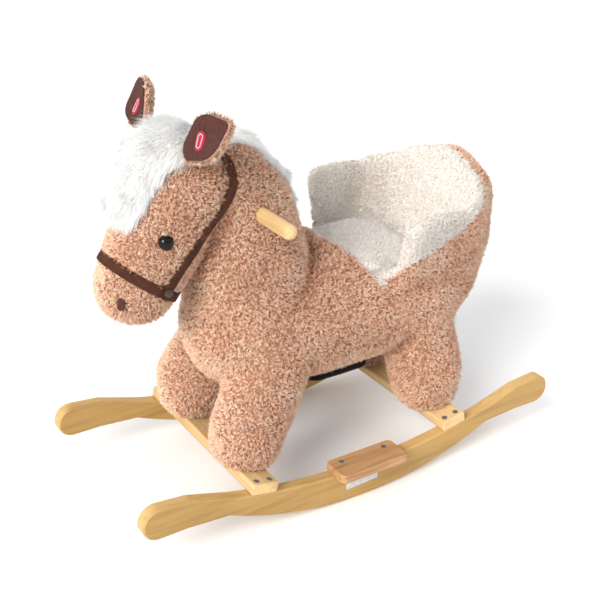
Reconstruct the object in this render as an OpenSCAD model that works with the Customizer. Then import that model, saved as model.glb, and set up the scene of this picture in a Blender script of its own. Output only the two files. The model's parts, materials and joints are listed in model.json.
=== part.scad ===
// Plush rocking horse on a wooden rocker frame, millimetres.
// Frame: +Z up, the horse faces -Y and its left side is +X.
// The origin lies on the floor, under the middle of the two rockers.

/* [Rockers] */
// Length of each rocker, tip to tip
rocker_len = 640; // [620:5:660]
// Width over the outer faces of the two rockers
rocker_track = 272; // [268:1:280]
// Thickness of the rocker boards
rocker_t = 18; // [17:0.5:19]
// Radius of the rolling edge
roll_radius = 500; // [480:5:520]
// Radius of the upper edge
top_radius = 830; // [810:5:850]
// Height of the upper edge at mid length
rocker_mid_h = 44; // [43:0.5:46]
// Radius of the round paddle at each tip
tip_radius = 21; // [20:0.5:22]

/* [Crossbars and footrests] */
// Width of a crossbar
bar_w = 38; // [36:1:42]
// Thickness of a crossbar
bar_t = 15; // [14:0.5:16]
// Place of the front crossbar along the rockers
front_bar_y = -158; // [-162:1:-154]
// Place of the rear crossbar along the rockers
rear_bar_y = 147; // [143:1:151]
// Length of a footrest along the rocker
footrest_l = 106; // [96:1:112]
// Width of a footrest
footrest_w = 44; // [42:1:46]
// Thickness of a footrest
footrest_t = 12; // [11:0.5:13]

/* [Inner frame] */
// Side of the square leg posts
post_w = 28; // [26:1:30]
// Height of the underside of the seat board
board_z = 238; // [236:1:240]
// Thickness of the plywood boards
ply_t = 12; // [11:0.5:12.5]
// Half distance between the two leg posts of a crossbar
post_x = 62; // [60:1:62]
// Diameter of the handle dowel
handle_d = 18; // [17:0.5:19]
// Length of the handle dowel
handle_l = 256; // [250:1:262]

/* [Plush] */
// Height of the top of the body, under the seat cushion
seat_z = 284; // [283:0.5:285]
// Height where the lower legs are sewn to the body
knee_z = 165; // [160:1:170]
// Thickness of the seat lining
lining_t = 14; // [13:0.5:15]
// Clearance around each piece inside the filling
slack = 0.6; // [0.4:0.1:0.8]

/* [Ears] */
// Distance of each ear centre from the middle plane
ear_x = 80; // [79:0.5:81]
// Travel of the push button in each ear
button_travel = 1.5; // [1:0.1:1.6]

/* [Hidden] */

$fn = 48;

wood = "burlywood";
plush = [0.85, 0.66, 0.56];
cream = [0.93, 0.90, 0.86];
suede = [0.32, 0.16, 0.12];

edge = 2;
pile = 0.4;

// Height of the rocker's upper edge at a place along it, and the slope of that edge
function top_z(y) = rocker_mid_h + top_radius - sqrt(top_radius * top_radius - y * y);
function top_tilt(y) = asin(y / top_radius);

module both_sides() {
    children();
    mirror([1, 0, 0]) children();
}

// A place in the middle plane of the horse, turned so that 2D shapes lie in the Y-Z plane
module side_profile(thickness) {
    rotate([90, 0, 90]) translate([0, 0, -thickness / 2]) linear_extrude(thickness) children();
}

module ball(p, r) {
    translate(p) sphere(r, $fn = 22);
}

// A slab standing on z = 0 with round corners in plan and broken edges
module soft_slab(w, d, h, corner, bevel) {
    hull() {
        for (x = [-1, 1])
            for (y = [-1, 1])
                translate([x * (w / 2 - corner), y * (d / 2 - corner), 0]) {
                    cylinder(r = corner - bevel, h = h, $fn = 32);
                    translate([0, 0, bevel]) cylinder(r = corner, h = h - 2 * bevel, $fn = 32);
                }
    }
}

// ---------------------------------------------------------------- wood screws

screw_d = 4;
screw_head_d = 8;
screw_head_h = 2.6;

// Countersunk wood screw, its head flush with z = 0 and its shank pointing down
module wood_screw(l, gap = 0) {
    translate([0, 0, -l]) cylinder(d = screw_d + 2 * gap, h = l);
    translate([0, 0, -screw_head_h])
        cylinder(d1 = screw_d + 2 * gap, d2 = screw_head_d + 2 * gap, h = screw_head_h);
}

module drive_slot() {
    for (a = [0, 90]) rotate([0, 0, a]) translate([-2.2, -0.5, -1.2]) cube([4.4, 1, 2]);
}

module slotted_screw(l) {
    difference() {
        wood_screw(l);
        drive_slot();
    }
}

// ------------------------------------------------------------------- rockers

tip_y = rocker_len / 2 - tip_radius;
tip_z = top_z(tip_y) - 31;
tail_y = 206;
tail_r = 12.5;
tail_z = top_z(tail_y) - tail_r - 0.3;
swell_y = 262;
swell_r = 19;
swell_z = top_z(swell_y) - swell_r - 0.1;

// A disc whose rim is bevelled; a negative bevel flares it, for cutting
module bevelled_disc(r, t, bevel, fn) {
    rotate([0, 90, 0]) rotate_extrude($fn = fn)
        polygon([[0, -t / 2], [r - bevel, -t / 2], [r, -t / 2 + abs(bevel)], [r, t / 2 - abs(bevel)],
            [r - bevel, t / 2], [0, t / 2]]);
}

module rocker_tail() {
    hull() {
        translate([0, tail_y, tail_z]) bevelled_disc(tail_r, rocker_t, edge, 48);
        translate([0, swell_y, swell_z]) bevelled_disc(swell_r, rocker_t, edge, 64);
    }
    hull() {
        translate([0, swell_y, swell_z]) bevelled_disc(swell_r, rocker_t, edge, 64);
        translate([0, tip_y, tip_z]) bevelled_disc(tip_radius, rocker_t, edge, 96);
    }
}

module rocker_blank() {
    intersection() {
        difference() {
            translate([0, 0, roll_radius]) bevelled_disc(roll_radius, rocker_t, edge, 360);
            translate([0, 0, rocker_mid_h + top_radius])
                bevelled_disc(top_radius, rocker_t + 0.2, -edge, 360);
        }
        translate([-rocker_t, -swell_y, -1]) cube([2 * rocker_t, 2 * swell_y, 200]);
    }
    rocker_tail();
    mirror([0, 1, 0]) rocker_tail();
}

rocker_x = rocker_track / 2 - rocker_t / 2;

module rocker() {
    difference() {
        translate([rocker_x, 0, 0]) rocker_blank();
        crossbar_blank(front_bar_y, 0);
        crossbar_blank(rear_bar_y, 0);
        translate([rocker_x - 30, -footrest_l / 2, rocker_mid_h]) cube([60, footrest_l, 20]);
        rocker_screw_places() wood_screw(rocker_screw_l, 0.1);
    }
}

label_w = 50;
label_h = 9;

// Blank paper label on the outer face of the left rocker, under the footrest
module rocker_label() {
    color("white") translate([rocker_track / 2 + 0.02, -8, 24]) rotate([2, 0, 0])
        translate([0, -label_w / 2, -label_h / 2]) cube([0.4, label_w, label_h]);
}

// ----------------------------------------------------------------- crossbars

// Moves to the middle of a crossbar's underside, tilted with the rocker there
module on_rocker(y) {
    translate([0, y, top_z(y) - 0.3]) rotate([top_tilt(y), 0, 0]) children();
}

module crossbar_blank(y, bevel) {
    on_rocker(y)
        if (bevel > 0)
            translate([-rocker_track / 2, 0, bar_t / 2]) rotate([0, 90, 0])
                soft_slab(bar_t, bar_w, rocker_track, 3, bevel);
        else
            translate([-rocker_track / 2 - 1, -bar_w / 2, 0]) cube([rocker_track + 2, bar_w, bar_t + 40]);
}

rocker_screw_l = 34;
foot_screw_y = 34;
foot_screw_x = rocker_x - 3;

// The four crossbar screws and the two footrest screws of the left rocker
module rocker_screw_places() {
    for (y = [front_bar_y, rear_bar_y])
        on_rocker(y)
            for (dy = [-9.5, 9.5]) translate([rocker_x, dy, bar_t]) children();
    for (y = [-foot_screw_y, foot_screw_y])
        translate([foot_screw_x, y, rocker_mid_h + footrest_t]) children();
}

module rocker_screws() {
    color("dimgray") both_sides() rocker_screw_places() slotted_screw(rocker_screw_l);
}

module crossbar(y) {
    color(wood) difference() {
        crossbar_blank(y, 1.2);
        both_sides() rocker_screw_places() wood_screw(rocker_screw_l, 0.1);
        both_sides() post_screw_low(y) wood_screw(frame_screw_l, 0.1);
    }
}

// ----------------------------------------------------------------- footrests

footrest_inner_x = rocker_track / 2 - rocker_t - 6;

module footrest() {
    color([0.79, 0.58, 0.38]) difference() {
        translate([footrest_inner_x + footrest_w / 2, 0, rocker_mid_h])
            soft_slab(footrest_w, footrest_l, footrest_t, 9, 2);
        rocker_screw_places() wood_screw(rocker_screw_l, 0.1);
    }
}

// --------------------------------------------------------------- inner frame

board_x = 76;
board_front_y = -152;
board_rear_y = 186;
board_top = board_z + ply_t;
frame_screw_l = 40;

// A leg post stands square on its crossbar and is cut off under the seat board
module post(y, gap = 0) {
    intersection() {
        on_rocker(y) translate([post_x - post_w / 2 - gap, -post_w / 2 - gap, bar_t])
            cube([post_w + 2 * gap, post_w + 2 * gap, 260]);
        translate([0, -300, 0]) cube([200, 600, board_z]);
    }
}

module post_screw_low(y) {
    on_rocker(y) translate([post_x, 0, 0]) rotate([180, 0, 0]) children();
}

function post_top_y(y) = y - (board_z - top_z(y)) * tan(top_tilt(y));

module post_screw_high(y) {
    translate([post_x, post_top_y(y), board_top]) children();
}

module leg_post(y) {
    color(wood) difference() {
        post(y);
        post_screw_low(y) wood_screw(frame_screw_l, 0.1);
        post_screw_high(y) wood_screw(frame_screw_l, 0.1);
    }
}

module seat_board_blank(gap) {
    translate([0, 0, board_z - gap]) linear_extrude(ply_t + 2 * gap)
        union() {
            corner = 30;
            translate([-board_x - gap, board_front_y + corner])
                square([2 * board_x + 2 * gap, board_rear_y - board_front_y - 2 * corner]);
            translate([corner - board_x, board_front_y - gap])
                square([2 * board_x - 2 * corner, board_rear_y - board_front_y + 2 * gap]);
            for (x = [corner - board_x, board_x - corner])
                for (y = [board_front_y + corner, board_rear_y - corner])
                    translate([x, y]) circle(corner + gap);
        }
}

module seat_board() {
    color(wood) difference() {
        seat_board_blank(0);
        both_sides() for (y = [front_bar_y, rear_bar_y]) post_screw_high(y) wood_screw(frame_screw_l, 0.1);
        bracket_screw_places(true) wood_screw(bracket_screw_l, 0.1);
        cleat_screw_places() wood_screw(cleat_screw_l, 0.1);
    }
}

neck_t = 15;
handle_y = -122;
handle_z = 391;

module neck_outline() {
    polygon([[-150, board_top], [-72, board_top], [-84, 330], [-98, 428], [-156, 434], [-164, 390]]);
}

module neck_board_blank(gap) {
    side_profile(neck_t + 2 * gap)
        if (gap > 0)
            offset(delta = gap) neck_outline();
        else
            neck_outline();
}

module neck_board() {
    color(wood) difference() {
        neck_board_blank(0);
        translate([0, handle_y, handle_z]) rotate([0, 90, 0])
            cylinder(d = handle_d + 0.2, h = 60, center = true);
        bracket_screw_places(false) wood_screw(bracket_screw_l, 0.1);
        handle_screw_place() wood_screw(handle_screw_l, 0.1);
    }
}

bracket_w = 30;
bracket_leg = 30;
bracket_t = 2;
bracket_y = -111;
bracket_screw_l = 7;

// Angle bracket in the corner between the seat board and the neck board, left side
module bracket() {
    difference() {
        translate([neck_t / 2, bracket_y - bracket_w / 2, board_top])
            difference() {
                cube([bracket_leg, bracket_w, bracket_leg]);
                translate([bracket_t, -1, bracket_t]) cube([bracket_leg, bracket_w + 2, bracket_leg]);
            }
        bracket_screw_places(true) wood_screw(bracket_screw_l, 0.1);
        bracket_screw_places(false) wood_screw(bracket_screw_l, 0.1);
    }
}

module neck_brackets() {
    color("silver") both_sides() bracket();
}

// Screw places of both brackets: into the seat board, or into the neck board
module bracket_screw_places(floor) {
    both_sides()
        for (dy = [-8, 8])
            if (floor)
                translate([neck_t / 2 + 20, bracket_y + dy, board_top + bracket_t]) children();
            else
                translate([neck_t / 2 + bracket_t, bracket_y + dy, board_top + 20])
                    rotate([0, 90, 0]) children();
}

module bracket_screws() {
    color("dimgray") {
        bracket_screw_places(true) slotted_screw(bracket_screw_l);
        bracket_screw_places(false) slotted_screw(bracket_screw_l);
    }
}

back_tilt = 15;
back_foot_y = 172;
back_h = 118;
back_half_w = 60;
cleat_h = 28;
cleat_screw_l = 30;

module on_back() {
    translate([0, back_foot_y, board_top]) rotate([-back_tilt, 0, 0]) children();
}

// The back board leans back from the seat board; its lower edge is cut level
module back_board_blank(gap) {
    difference() {
        on_back() rotate([90, 0, 0]) translate([0, 0, -ply_t - gap]) linear_extrude(ply_t + 2 * gap)
            union() {
                corner = 28;
                translate([-back_half_w - gap, -10])
                    square([2 * back_half_w + 2 * gap, back_h + 10 - corner]);
                translate([corner - back_half_w, 0]) square([2 * back_half_w - 2 * corner, back_h + gap]);
                for (x = [corner - back_half_w, back_half_w - corner])
                    translate([x, back_h - corner]) circle(corner + gap);
            }
        translate([-200, 0, board_top - 50]) cube([400, 400, 50]);
    }
}

module back_screw_places() {
    for (x = [-36, 0, 36]) on_back() translate([x, ply_t, 15]) rotate([-90, 0, 0]) children();
}

module cleat_screw_places() {
    for (x = [-20, 20]) translate([x, board_rear_y - 22, board_z]) rotate([180, 0, 0]) children();
}

module back_board() {
    color(wood) difference() {
        back_board_blank(0);
        back_screw_places() wood_screw(back_screw_l, 0.1);
    }
}

back_screw_l = 30;
cleat_half_w = 55;
cleat_d = 22;

// Bevelled wooden cleat that ties the back board to the seat board, in front of it
module cleat_blank(gap) {
    lean = tan(back_tilt) * cleat_h;
    translate([-cleat_half_w - gap, 0, 0]) rotate([90, 0, 90]) linear_extrude(2 * (cleat_half_w + gap))
        polygon([[back_foot_y - cleat_d - gap, board_top], [back_foot_y, board_top],
            [back_foot_y + lean, board_top + cleat_h + gap],
            [back_foot_y - cleat_d - gap, board_top + cleat_h + gap]]);
}

module back_cleat() {
    color(wood) difference() {
        cleat_blank(0);
        back_screw_places() wood_screw(back_screw_l, 0.1);
        cleat_screw_places() wood_screw(cleat_screw_l, 0.1);
    }
}

module frame_screws() {
    color("dimgray") {
        both_sides()
            for (y = [front_bar_y, rear_bar_y]) {
                post_screw_low(y) slotted_screw(frame_screw_l);
                post_screw_high(y) slotted_screw(frame_screw_l);
            }
        cleat_screw_places() slotted_screw(cleat_screw_l);
        back_screw_places() slotted_screw(back_screw_l);
    }
}

// -------------------------------------------------------------------- handle

// Dowel through the neck board, both ends rounded
module handle_bar() {
    color(wood) difference() {
        translate([0, handle_y, handle_z]) rotate([0, 90, 0])
            intersection() {
                cylinder(d = handle_d, h = handle_l, center = true, $fn = 64);
                union() {
                    cylinder(d = handle_d + 2, h = handle_l - handle_d, center = true);
                    for (s = [-1, 1])
                        translate([0, 0, s * (handle_l - handle_d) / 2])
                            sphere(d = handle_d * 1.02, $fn = 64);
                }
            }
        handle_screw_place() wood_screw(handle_screw_l, 0.1);
    }
}

handle_screw_l = 34;

// The screw that holds the dowel enters through the rear edge of the neck board
module handle_screw_place() {
    translate([0, handle_y + 29.5, handle_z]) rotate([-90, 0, 0]) children();
}

module handle_screw() {
    color("dimgray") handle_screw_place() slotted_screw(handle_screw_l);
}

// --------------------------------------------------------------- plush bodies

belly_z = 137;
belly_front_y = -42;
belly_rear_y = 68;
neck_z = 262;
neck_rear_y = -12;

module oval(p, r) {
    translate(p) scale([r[0] / r[2], r[1] / r[2], 1]) sphere(r[2], $fn = 22);
}

module torso_hull(grow) {
    hull() {
        oval([0, -95, 222], [99 + grow, 97 + grow, 88 + grow]);
        oval([0, 120, 238], [106 + grow, 115 + grow, 104 + grow]);
    }
}

// Leg from the hoof on its crossbar up into the body, left side
module leg_hull(hoof_y, hip_y) {
    hull() {
        ball([74, hoof_y, 118], 48);
        ball([70, hoof_y, 96], 48);
        ball([54, hip_y, 200], 53);
    }
}

module front_leg_hull() {
    leg_hull(-148, -96);
}

module rear_leg_hull() {
    leg_hull(144, 124);
}

module neck_hull(grow) {
    hull() {
        ball([0, -148, 424], 60 + grow);
        ball([0, -116, 384], 66 + grow);
        ball([0, -102, 262], 86 + grow);
        ball([0, -52, 288], 40 + grow);
    }
}

module head_hull(grow) {
    hull() {
        ball([0, -194, 424], 68 + grow);
        ball([0, -228, 364], 59 + grow);
        ball([0, -256, 308], 50 + grow);
    }
}

// Everything in front of the slanted plane where the head is sewn to the neck
module head_side(shift) {
    translate([0, -205 + shift, 300]) rotate([-15.8, 0, 0])
        translate([-150, -300, -300]) cube([300, 300, 600]);
}

// The wooden frame with clearance, taken out of the filling
module frame_space(gap) {
    seat_board_blank(gap);
    both_sides() {
        post(front_bar_y, gap);
        post(rear_bar_y, gap);
        translate([neck_t / 2, bracket_y - bracket_w / 2 - gap, board_top])
            cube([bracket_leg + 1, bracket_w + 2 * gap, bracket_leg + 1]);
    }
    neck_board_blank(gap);
    back_board_blank(gap);
    cleat_blank(gap);
    back_screw_places() cylinder(d = screw_head_d + 1, h = 1);
}

module body_plush() {
    color(plush) difference() {
        union() {
            torso_hull(0);
            both_sides() {
                front_leg_hull();
                rear_leg_hull();
            }
        }
        translate([-200, -300, seat_z]) cube([400, 600, 200]);
        translate([-200, -300, neck_z]) cube([400, 300 + neck_rear_y, 200]);
        translate([-200, -300, -1]) cube([400, 600, belly_z + 1]);
        translate([-200, belly_front_y - 300, -1]) cube([400, 300, knee_z + 1]);
        translate([-200, belly_rear_y, -1]) cube([400, 300, knee_z + 1]);
        frame_space(slack);
    }
}

// Dark cloth that closes the belly between the legs
module belly_lining() {
    color([0.12, 0.1, 0.1])
        translate([-65, belly_front_y, belly_z - 2 - pile]) cube([130, belly_rear_y - belly_front_y, 2]);
}

module leg_plush(y, gap) {
    color(plush) difference() {
        children();
        translate([-200, -300, knee_z - gap]) cube([400, 600, 300]);
        on_rocker(y) translate([-200, -200, bar_t + gap - 300]) cube([400, 400, 300]);
        post(y, slack);
    }
}

module neck_plush() {
    color(plush) difference() {
        neck_hull(0);
        head_side(0.2);
        translate([-200, -300, 0]) cube([400, 600, neck_z + pile]);
        translate([-200, neck_rear_y - pile, 0]) cube([400, 300, seat_z + pile]);
        frame_space(slack);
        translate([0, handle_y, handle_z]) rotate([0, 90, 0])
            cylinder(d = handle_d + 2 * slack, h = handle_l, center = true);
        handle_screw_place() cylinder(d = screw_head_d + 1, h = 1);
        sound_space(slack);
        lead_channels();
    }
}

module head_plush() {
    color(plush) difference() {
        intersection() {
            head_hull(0);
            head_side(-0.2);
        }
        neck_board_blank(slack);
        both_sides() {
            eye_pose() eye_shape(slack);
            eye_pose() translate([0, 0, -11]) cylinder(d = 16, h = 4);
            nostril_pose() nostril_shape(0.4);
        }
        lead_channels();
        both_sides() ear_pose() ear_blank(slack);
    }
}

// --------------------------------------------------------------- bucket seat

module bucket_hull() {
    hull() {
        both_sides() {
            ball([92, 74, 286], 18);
            ball([105, 75, 352], 23);
            ball([94, 104, 350], 34);
            ball([44, 198, 296], 46);
            ball([84, 160, 352], 38);
            ball([48, 214, 358], 38);
            ball([72, 120, 276], 34);
        }
        ball([0, 224, 374], 36);
        ball([0, 196, 276], 58);
    }
}

// The room for the sitter, open to the front and the top
module seat_room(grow) {
    hull() {
        for (s = [[seat_z - 1, 84, 140], [seat_z + 150, 130, 222]])
            translate([0, 0, s[0]])
                for (x = [-1, 1]) {
                    translate([x * (s[1] - 40), s[2] - 40, 0]) cylinder(r = 40 + grow, h = 0.1, $fn = 32);
                    translate([x * (s[1] - 40), -80, 0]) cylinder(r = 40 + grow, h = 0.1, $fn = 32);
                }
    }
}

module above_seat() {
    intersection() {
        children();
        translate([-200, -100, seat_z + pile]) cube([400, 400, 300]);
    }
}

// The front and the rim of the two wings, above a plane that slants up to the rear
module wing_fronts(grow) {
    translate([-200, 42, 271]) rotate([35, 0, 0])
        translate([0, -grow, -grow]) cube([400, 162 + 2 * grow, 300]);
}

module backrest_plush() {
    color(plush) difference() {
        above_seat() bucket_hull();
        seat_room(lining_t + pile);
        wing_fronts(pile);
        back_board_blank(slack);
    }
}

module backrest_lining() {
    color(cream) difference() {
        above_seat() intersection() {
            bucket_hull();
            union() {
                seat_room(lining_t);
                wing_fronts(0);
            }
        }
        seat_room(0);
    }
}

cushion_w = 146;
cushion_l = 124;

module seat_cushion() {
    color(cream)
        translate([0, 74, seat_z + pile]) soft_slab(cushion_w, cushion_l, 12, 34, 5);
}

// --------------------------------------------------------- mane, forelock, tail

module mane() {
    color("white") intersection() {
        difference() {
            neck_hull(11);
            neck_hull(pile);
            head_side(24);
            handle_screw_place() cylinder(d = 12, h = 3);
        }
        translate([-26, -160, 335]) cube([52, 200, 200]);
    }
}

module forelock() {
    color("white") intersection() {
        difference() {
            head_hull(20);
            head_hull(pile);
            both_sides() ear_pose() ear_blank(1.5);
            headstall_band(20);
        }
        translate([-40, -330, 398]) cube([80, 155, 150]);
        head_side(-8);
    }
}

module tail() {
    color("white") difference() {
        hull() {
            ball([0, 218, 262], 18);
            ball([0, 236, 222], 20);
            ball([0, 236, 150], 16);
            ball([0, 230, 118], 8);
        }
        torso_hull(pile);
        translate([-60, 100, seat_z - 6]) cube([120, 200, 100]);
    }
}

// ---------------------------------------------------------------------- ears

// The ear's own axes: X to its tip, Z out of its lined face
module ear_pose() {
    translate([ear_x, -201, 497]) rotate([0, 0, 10]) rotate([67, 0, 0]) rotate([0, 0, 40]) children();
}

ear_back = 9;
ear_front = 4;

module ear_outline(grow) {
    hull() {
        translate([-24, 0]) circle(14 + grow, $fn = 40);
        translate([2, 0]) circle(26 + grow, $fn = 56);
        translate([29, 0]) circle(8 + grow, $fn = 40);
    }
}

module ear_blank(grow) {
    translate([0, 0, -ear_back - grow])
        linear_extrude(ear_back + ear_front + 2 * grow + 2.4) ear_outline(grow);
}

module ear() {
    color(plush) difference() {
        translate([0, 0, -ear_back]) linear_extrude(ear_back + ear_front) ear_outline(0);
        translate([switch_x, 0, housing_floor - slack]) cylinder(d = housing_d + 2 * slack, h = 40);
        switch_lead_exit() cylinder(d = lead_d + 2 * slack, h = 60);
    }
}

module ear_lining() {
    color(suede)
        translate([0, 0, ear_front + 0.2]) linear_extrude(1.6) ear_outline(-3);
}

module ear_patches() {
    color("crimson") both_sides() ear_pose()
        translate([switch_x, 0, ear_front + 2])
            for (y = [-4.5, 4.5]) translate([0, y, 0]) linear_extrude(0.5) ear_patch_half(y);
}

module ear_patch_half(y) {
    intersection() {
        union() {
            translate([0, -y - 4.5]) circle(5.5);
            translate([0, -y + 4.5]) circle(5.5);
            translate([0, -y]) square([11, 9], center = true);
        }
        translate([-10, y > 0 ? -4.5 : -20]) square([20, 24.5]);
    }
}

// ------------------------------------------------------- sound switches in ears

switch_x = -6;
housing_d = 16;
housing_floor = -7;
housing_top = 1;
housing_wall = 1.4;
button_d = 10;
flange_d = 12;
flange_t = 1.2;
flange_top = -0.5;

module switch_housing() {
    color("ivory") translate([switch_x, 0, 0]) difference() {
        translate([0, 0, housing_floor]) cylinder(d = housing_d, h = housing_top - housing_floor);
        translate([0, 0, housing_floor + housing_wall])
            cylinder(d = flange_d + 0.8, h = housing_top - housing_floor - 2 * housing_wall + 0.2);
        cylinder(d = button_d + 0.8, h = 10, center = true);
    }
}

module switch_button() {
    color("orangered") translate([switch_x, 0, 0]) {
        translate([0, 0, flange_top - flange_t]) cylinder(d = flange_d, h = flange_t);
        translate([0, 0, flange_top]) cylinder(d = button_d, h = 3.6 - flange_top);
    }
}

dome_low = housing_floor + housing_wall + 0.35;
dome_high = flange_top - flange_t - 0.35;
dome_foot_d = 11;
dome_top_d = 7;
dome_wall = 0.6;

// Silicone dome under the button's flange, which carries the contact pill and springs back
module switch_dome() {
    color("whitesmoke") translate([switch_x, 0, 0]) rotate_extrude()
        polygon([
            [dome_foot_d / 2 - 1.6, dome_low],
            [dome_foot_d / 2, dome_low],
            [dome_foot_d / 2, dome_low + dome_wall],
            [dome_foot_d / 2 - 0.9, dome_low + dome_wall],
            [dome_top_d / 2, dome_high],
            [0, dome_high],
            [0, dome_high - dome_wall],
            [dome_top_d / 2 - dome_wall, dome_high - dome_wall]
        ]);
}

lead_d = 2;

// The lead leaves the ear at its base
module switch_lead_exit() {
    translate([switch_x - housing_d / 2 - slack, 0, housing_floor + 2]) rotate([0, -90, 0]) children();
}

// Turns the Z axis along v
module along(v) {
    rotate([0, acos(v[2] / norm(v)), atan2(v[1], v[0])]) children();
}

// Lead laid through its points in straight runs that overlap at the bends
module lead_path(points) {
    for (i = [0:len(points) - 2]) {
        v = points[i + 1] - points[i];
        translate(points[i]) along(v) translate([0, 0, -0.5])
            cylinder(d = lead_d, h = norm(v) + 1, $fn = 12);
    }
}

// Square channel round the leads, for the stuffing to stay clear of them
module lead_channel(points) {
    w = lead_d + 1.6;
    for (i = [0:len(points) - 2]) {
        v = points[i + 1] - points[i];
        translate(points[i]) along(v) translate([-w / 2, -w / 2, -w / 2]) cube([w, w, norm(v) + w]);
    }
}

left_lead = [[52.1, -211, 472.5], [34, -190, 448], [25, -158, 424], [22, -143, 396], [20, -134, 353.5]];
right_lead = [[-52.1, -211, 472.5], [-34, -190, 452], [0, -178, 452], [27, -160, 428], [26, -143, 396],
    [24, -134, 353.5]];

module lead_channels() {
    lead_channel(left_lead);
    lead_channel(right_lead);
}

module switch_leads() {
    color("firebrick") {
        lead_path(left_lead);
        lead_path(right_lead);
        both_sides() ear_pose() switch_lead_exit() cylinder(d = lead_d, h = 23.5, $fn = 12);
    }
}

// ------------------------------------------------------------------ sound box

case_x = neck_t / 2 + 1;
case_y = -150;
case_z = 292;
case_size = [22, 54, 60];
case_wall = 1.6;
lid_t = 2;

module sound_space(gap) {
    translate([case_x - gap, case_y - gap, case_z - gap])
        cube([case_size[0] + lid_t + 0.3 + 2 * gap, case_size[1] + 2 * gap, case_size[2] + 2 * gap]);
}

module sound_case() {
    color("ivory") translate([case_x, case_y, case_z]) difference() {
        cube(case_size);
        translate([case_wall, case_wall, case_wall])
            cube([case_size[0], case_size[1] - 2 * case_wall, case_size[2] - 2 * case_wall]);
        translate([5, 8, case_size[2] - 5]) cube([15, 16, 10]);
    }
}

module sound_lid() {
    color("ivory") translate([case_x + case_size[0] + 0.3, case_y, case_z]) difference() {
        cube([lid_t, case_size[1], case_size[2]]);
        for (i = [0:3])
            translate([-1, case_size[1] - 12, 8 + 5 * i]) rotate([0, 90, 0])
                cylinder(d = 2.4, h = 10, $fn = 20);
    }
}

battery_d = 10.5;
battery_l = 44.5;

module batteries() {
    color("seagreen")
        for (i = [0:2])
            translate([case_x + 14, case_y + case_wall + 6 + i * (battery_d + 0.5), case_z + 4]) {
                cylinder(d = battery_d, h = battery_l);
                translate([0, 0, battery_l]) cylinder(d = 3.8, h = 0.9);
            }
}

module circuit_board() {
    color("darkgreen") translate([case_x + case_wall + 0.5, case_y + 5, case_z + 5]) cube([1.6, 44, 48]);
}

module speaker() {
    color("black") translate([case_x + 10, case_y + case_size[1] - 10, case_z + 16]) rotate([0, 90, 0]) {
        cylinder(d = 9, h = 6);
        translate([0, 0, 6]) cylinder(d = 15, h = 4);
    }
}

// ------------------------------------------------------------------------ face

eye_d = 17;

module eye_pose() {
    translate([53.5, -241, 378]) rotate([0, 77, -13]) children();
}

// Dome with a shank that passes through the cloth
module eye_shape(gap) {
    intersection() {
        translate([0, 0, -2 - gap]) cylinder(d = eye_d + 2 * gap, h = 12);
        translate([0, 0, -4]) sphere(d = eye_d + 3 + 2 * gap);
    }
    translate([0, 0, -15 - gap]) cylinder(d = 5 + 2 * gap, h = 14);
}

module eye() {
    color("black") eye_pose() eye_shape(0);
}

module eye_washers() {
    color("white") both_sides() eye_pose() translate([0, 0, -10.5]) difference() {
        cylinder(d = 15, h = 2);
        translate([0, 0, -1]) cylinder(d = 5.2, h = 4);
    }
}

module nostril_pose() {
    translate([34.5, -290, 306]) rotate([0, 66, -44]) children();
}

module nostril_shape(gap) {
    translate([0, 0, -2.5 - gap]) linear_extrude(3.5 + gap)
        union() {
            for (x = [-3, 3]) translate([x, 0]) circle(4 + gap);
            square([6, 8 + 2 * gap], center = true);
        }
}

module nostrils() {
    color(suede) both_sides() nostril_pose() nostril_shape(0);
}

// ---------------------------------------------------------------------- bridle

strap_t = 2.4;
strap_w = 13;

// Slab across the muzzle where the noseband runs
module noseband_slab() {
    translate([0, -248, 318]) rotate([-35, 0, 0])
        translate([-100, -100, -strap_w / 2]) cube([200, 200, strap_w]);
}

module noseband() {
    color(suede) difference() {
        intersection() {
            head_hull(strap_t);
            noseband_slab();
        }
        head_hull(pile);
    }
}

// Quadratic curve through the cheek from the noseband to behind the ear
function cheek_point(t) =
    (1 - t) * (1 - t) * [-232, 322] + 2 * t * (1 - t) * [-158, 388] + t * t * [-158, 500];
function cheek_dir(t) = 2 * (1 - t) * [74, 66] + 2 * t * [0, 112];
function cheek_side(t, s) = cheek_point(t) + s * [-cheek_dir(t)[1], cheek_dir(t)[0]] / norm(cheek_dir(t));

module headstall_band(w) {
    steps = 16;
    side_profile(200)
        polygon(concat(
            [for (i = [0:steps]) cheek_side(i / steps, w / 2)],
            [for (i = [steps:-1:0]) cheek_side(i / steps, -w / 2)]));
}

module headstall() {
    color(suede) intersection() {
        difference() {
            union() {
                head_hull(strap_t);
                neck_hull(strap_t);
            }
            head_hull(pile);
            neck_hull(pile);
            noseband_slab();
        }
        headstall_band(strap_w);
    }
}

module bridle_studs() {
    color("saddlebrown") both_sides()
        difference() {
            translate([53.5, -240, 316]) rotate([0, 84, -14]) intersection() {
                cylinder(d = 10, h = 4);
                translate([0, 0, -5]) sphere(d = 17);
            }
            head_hull(strap_t + 0.3);
        }
}

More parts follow.
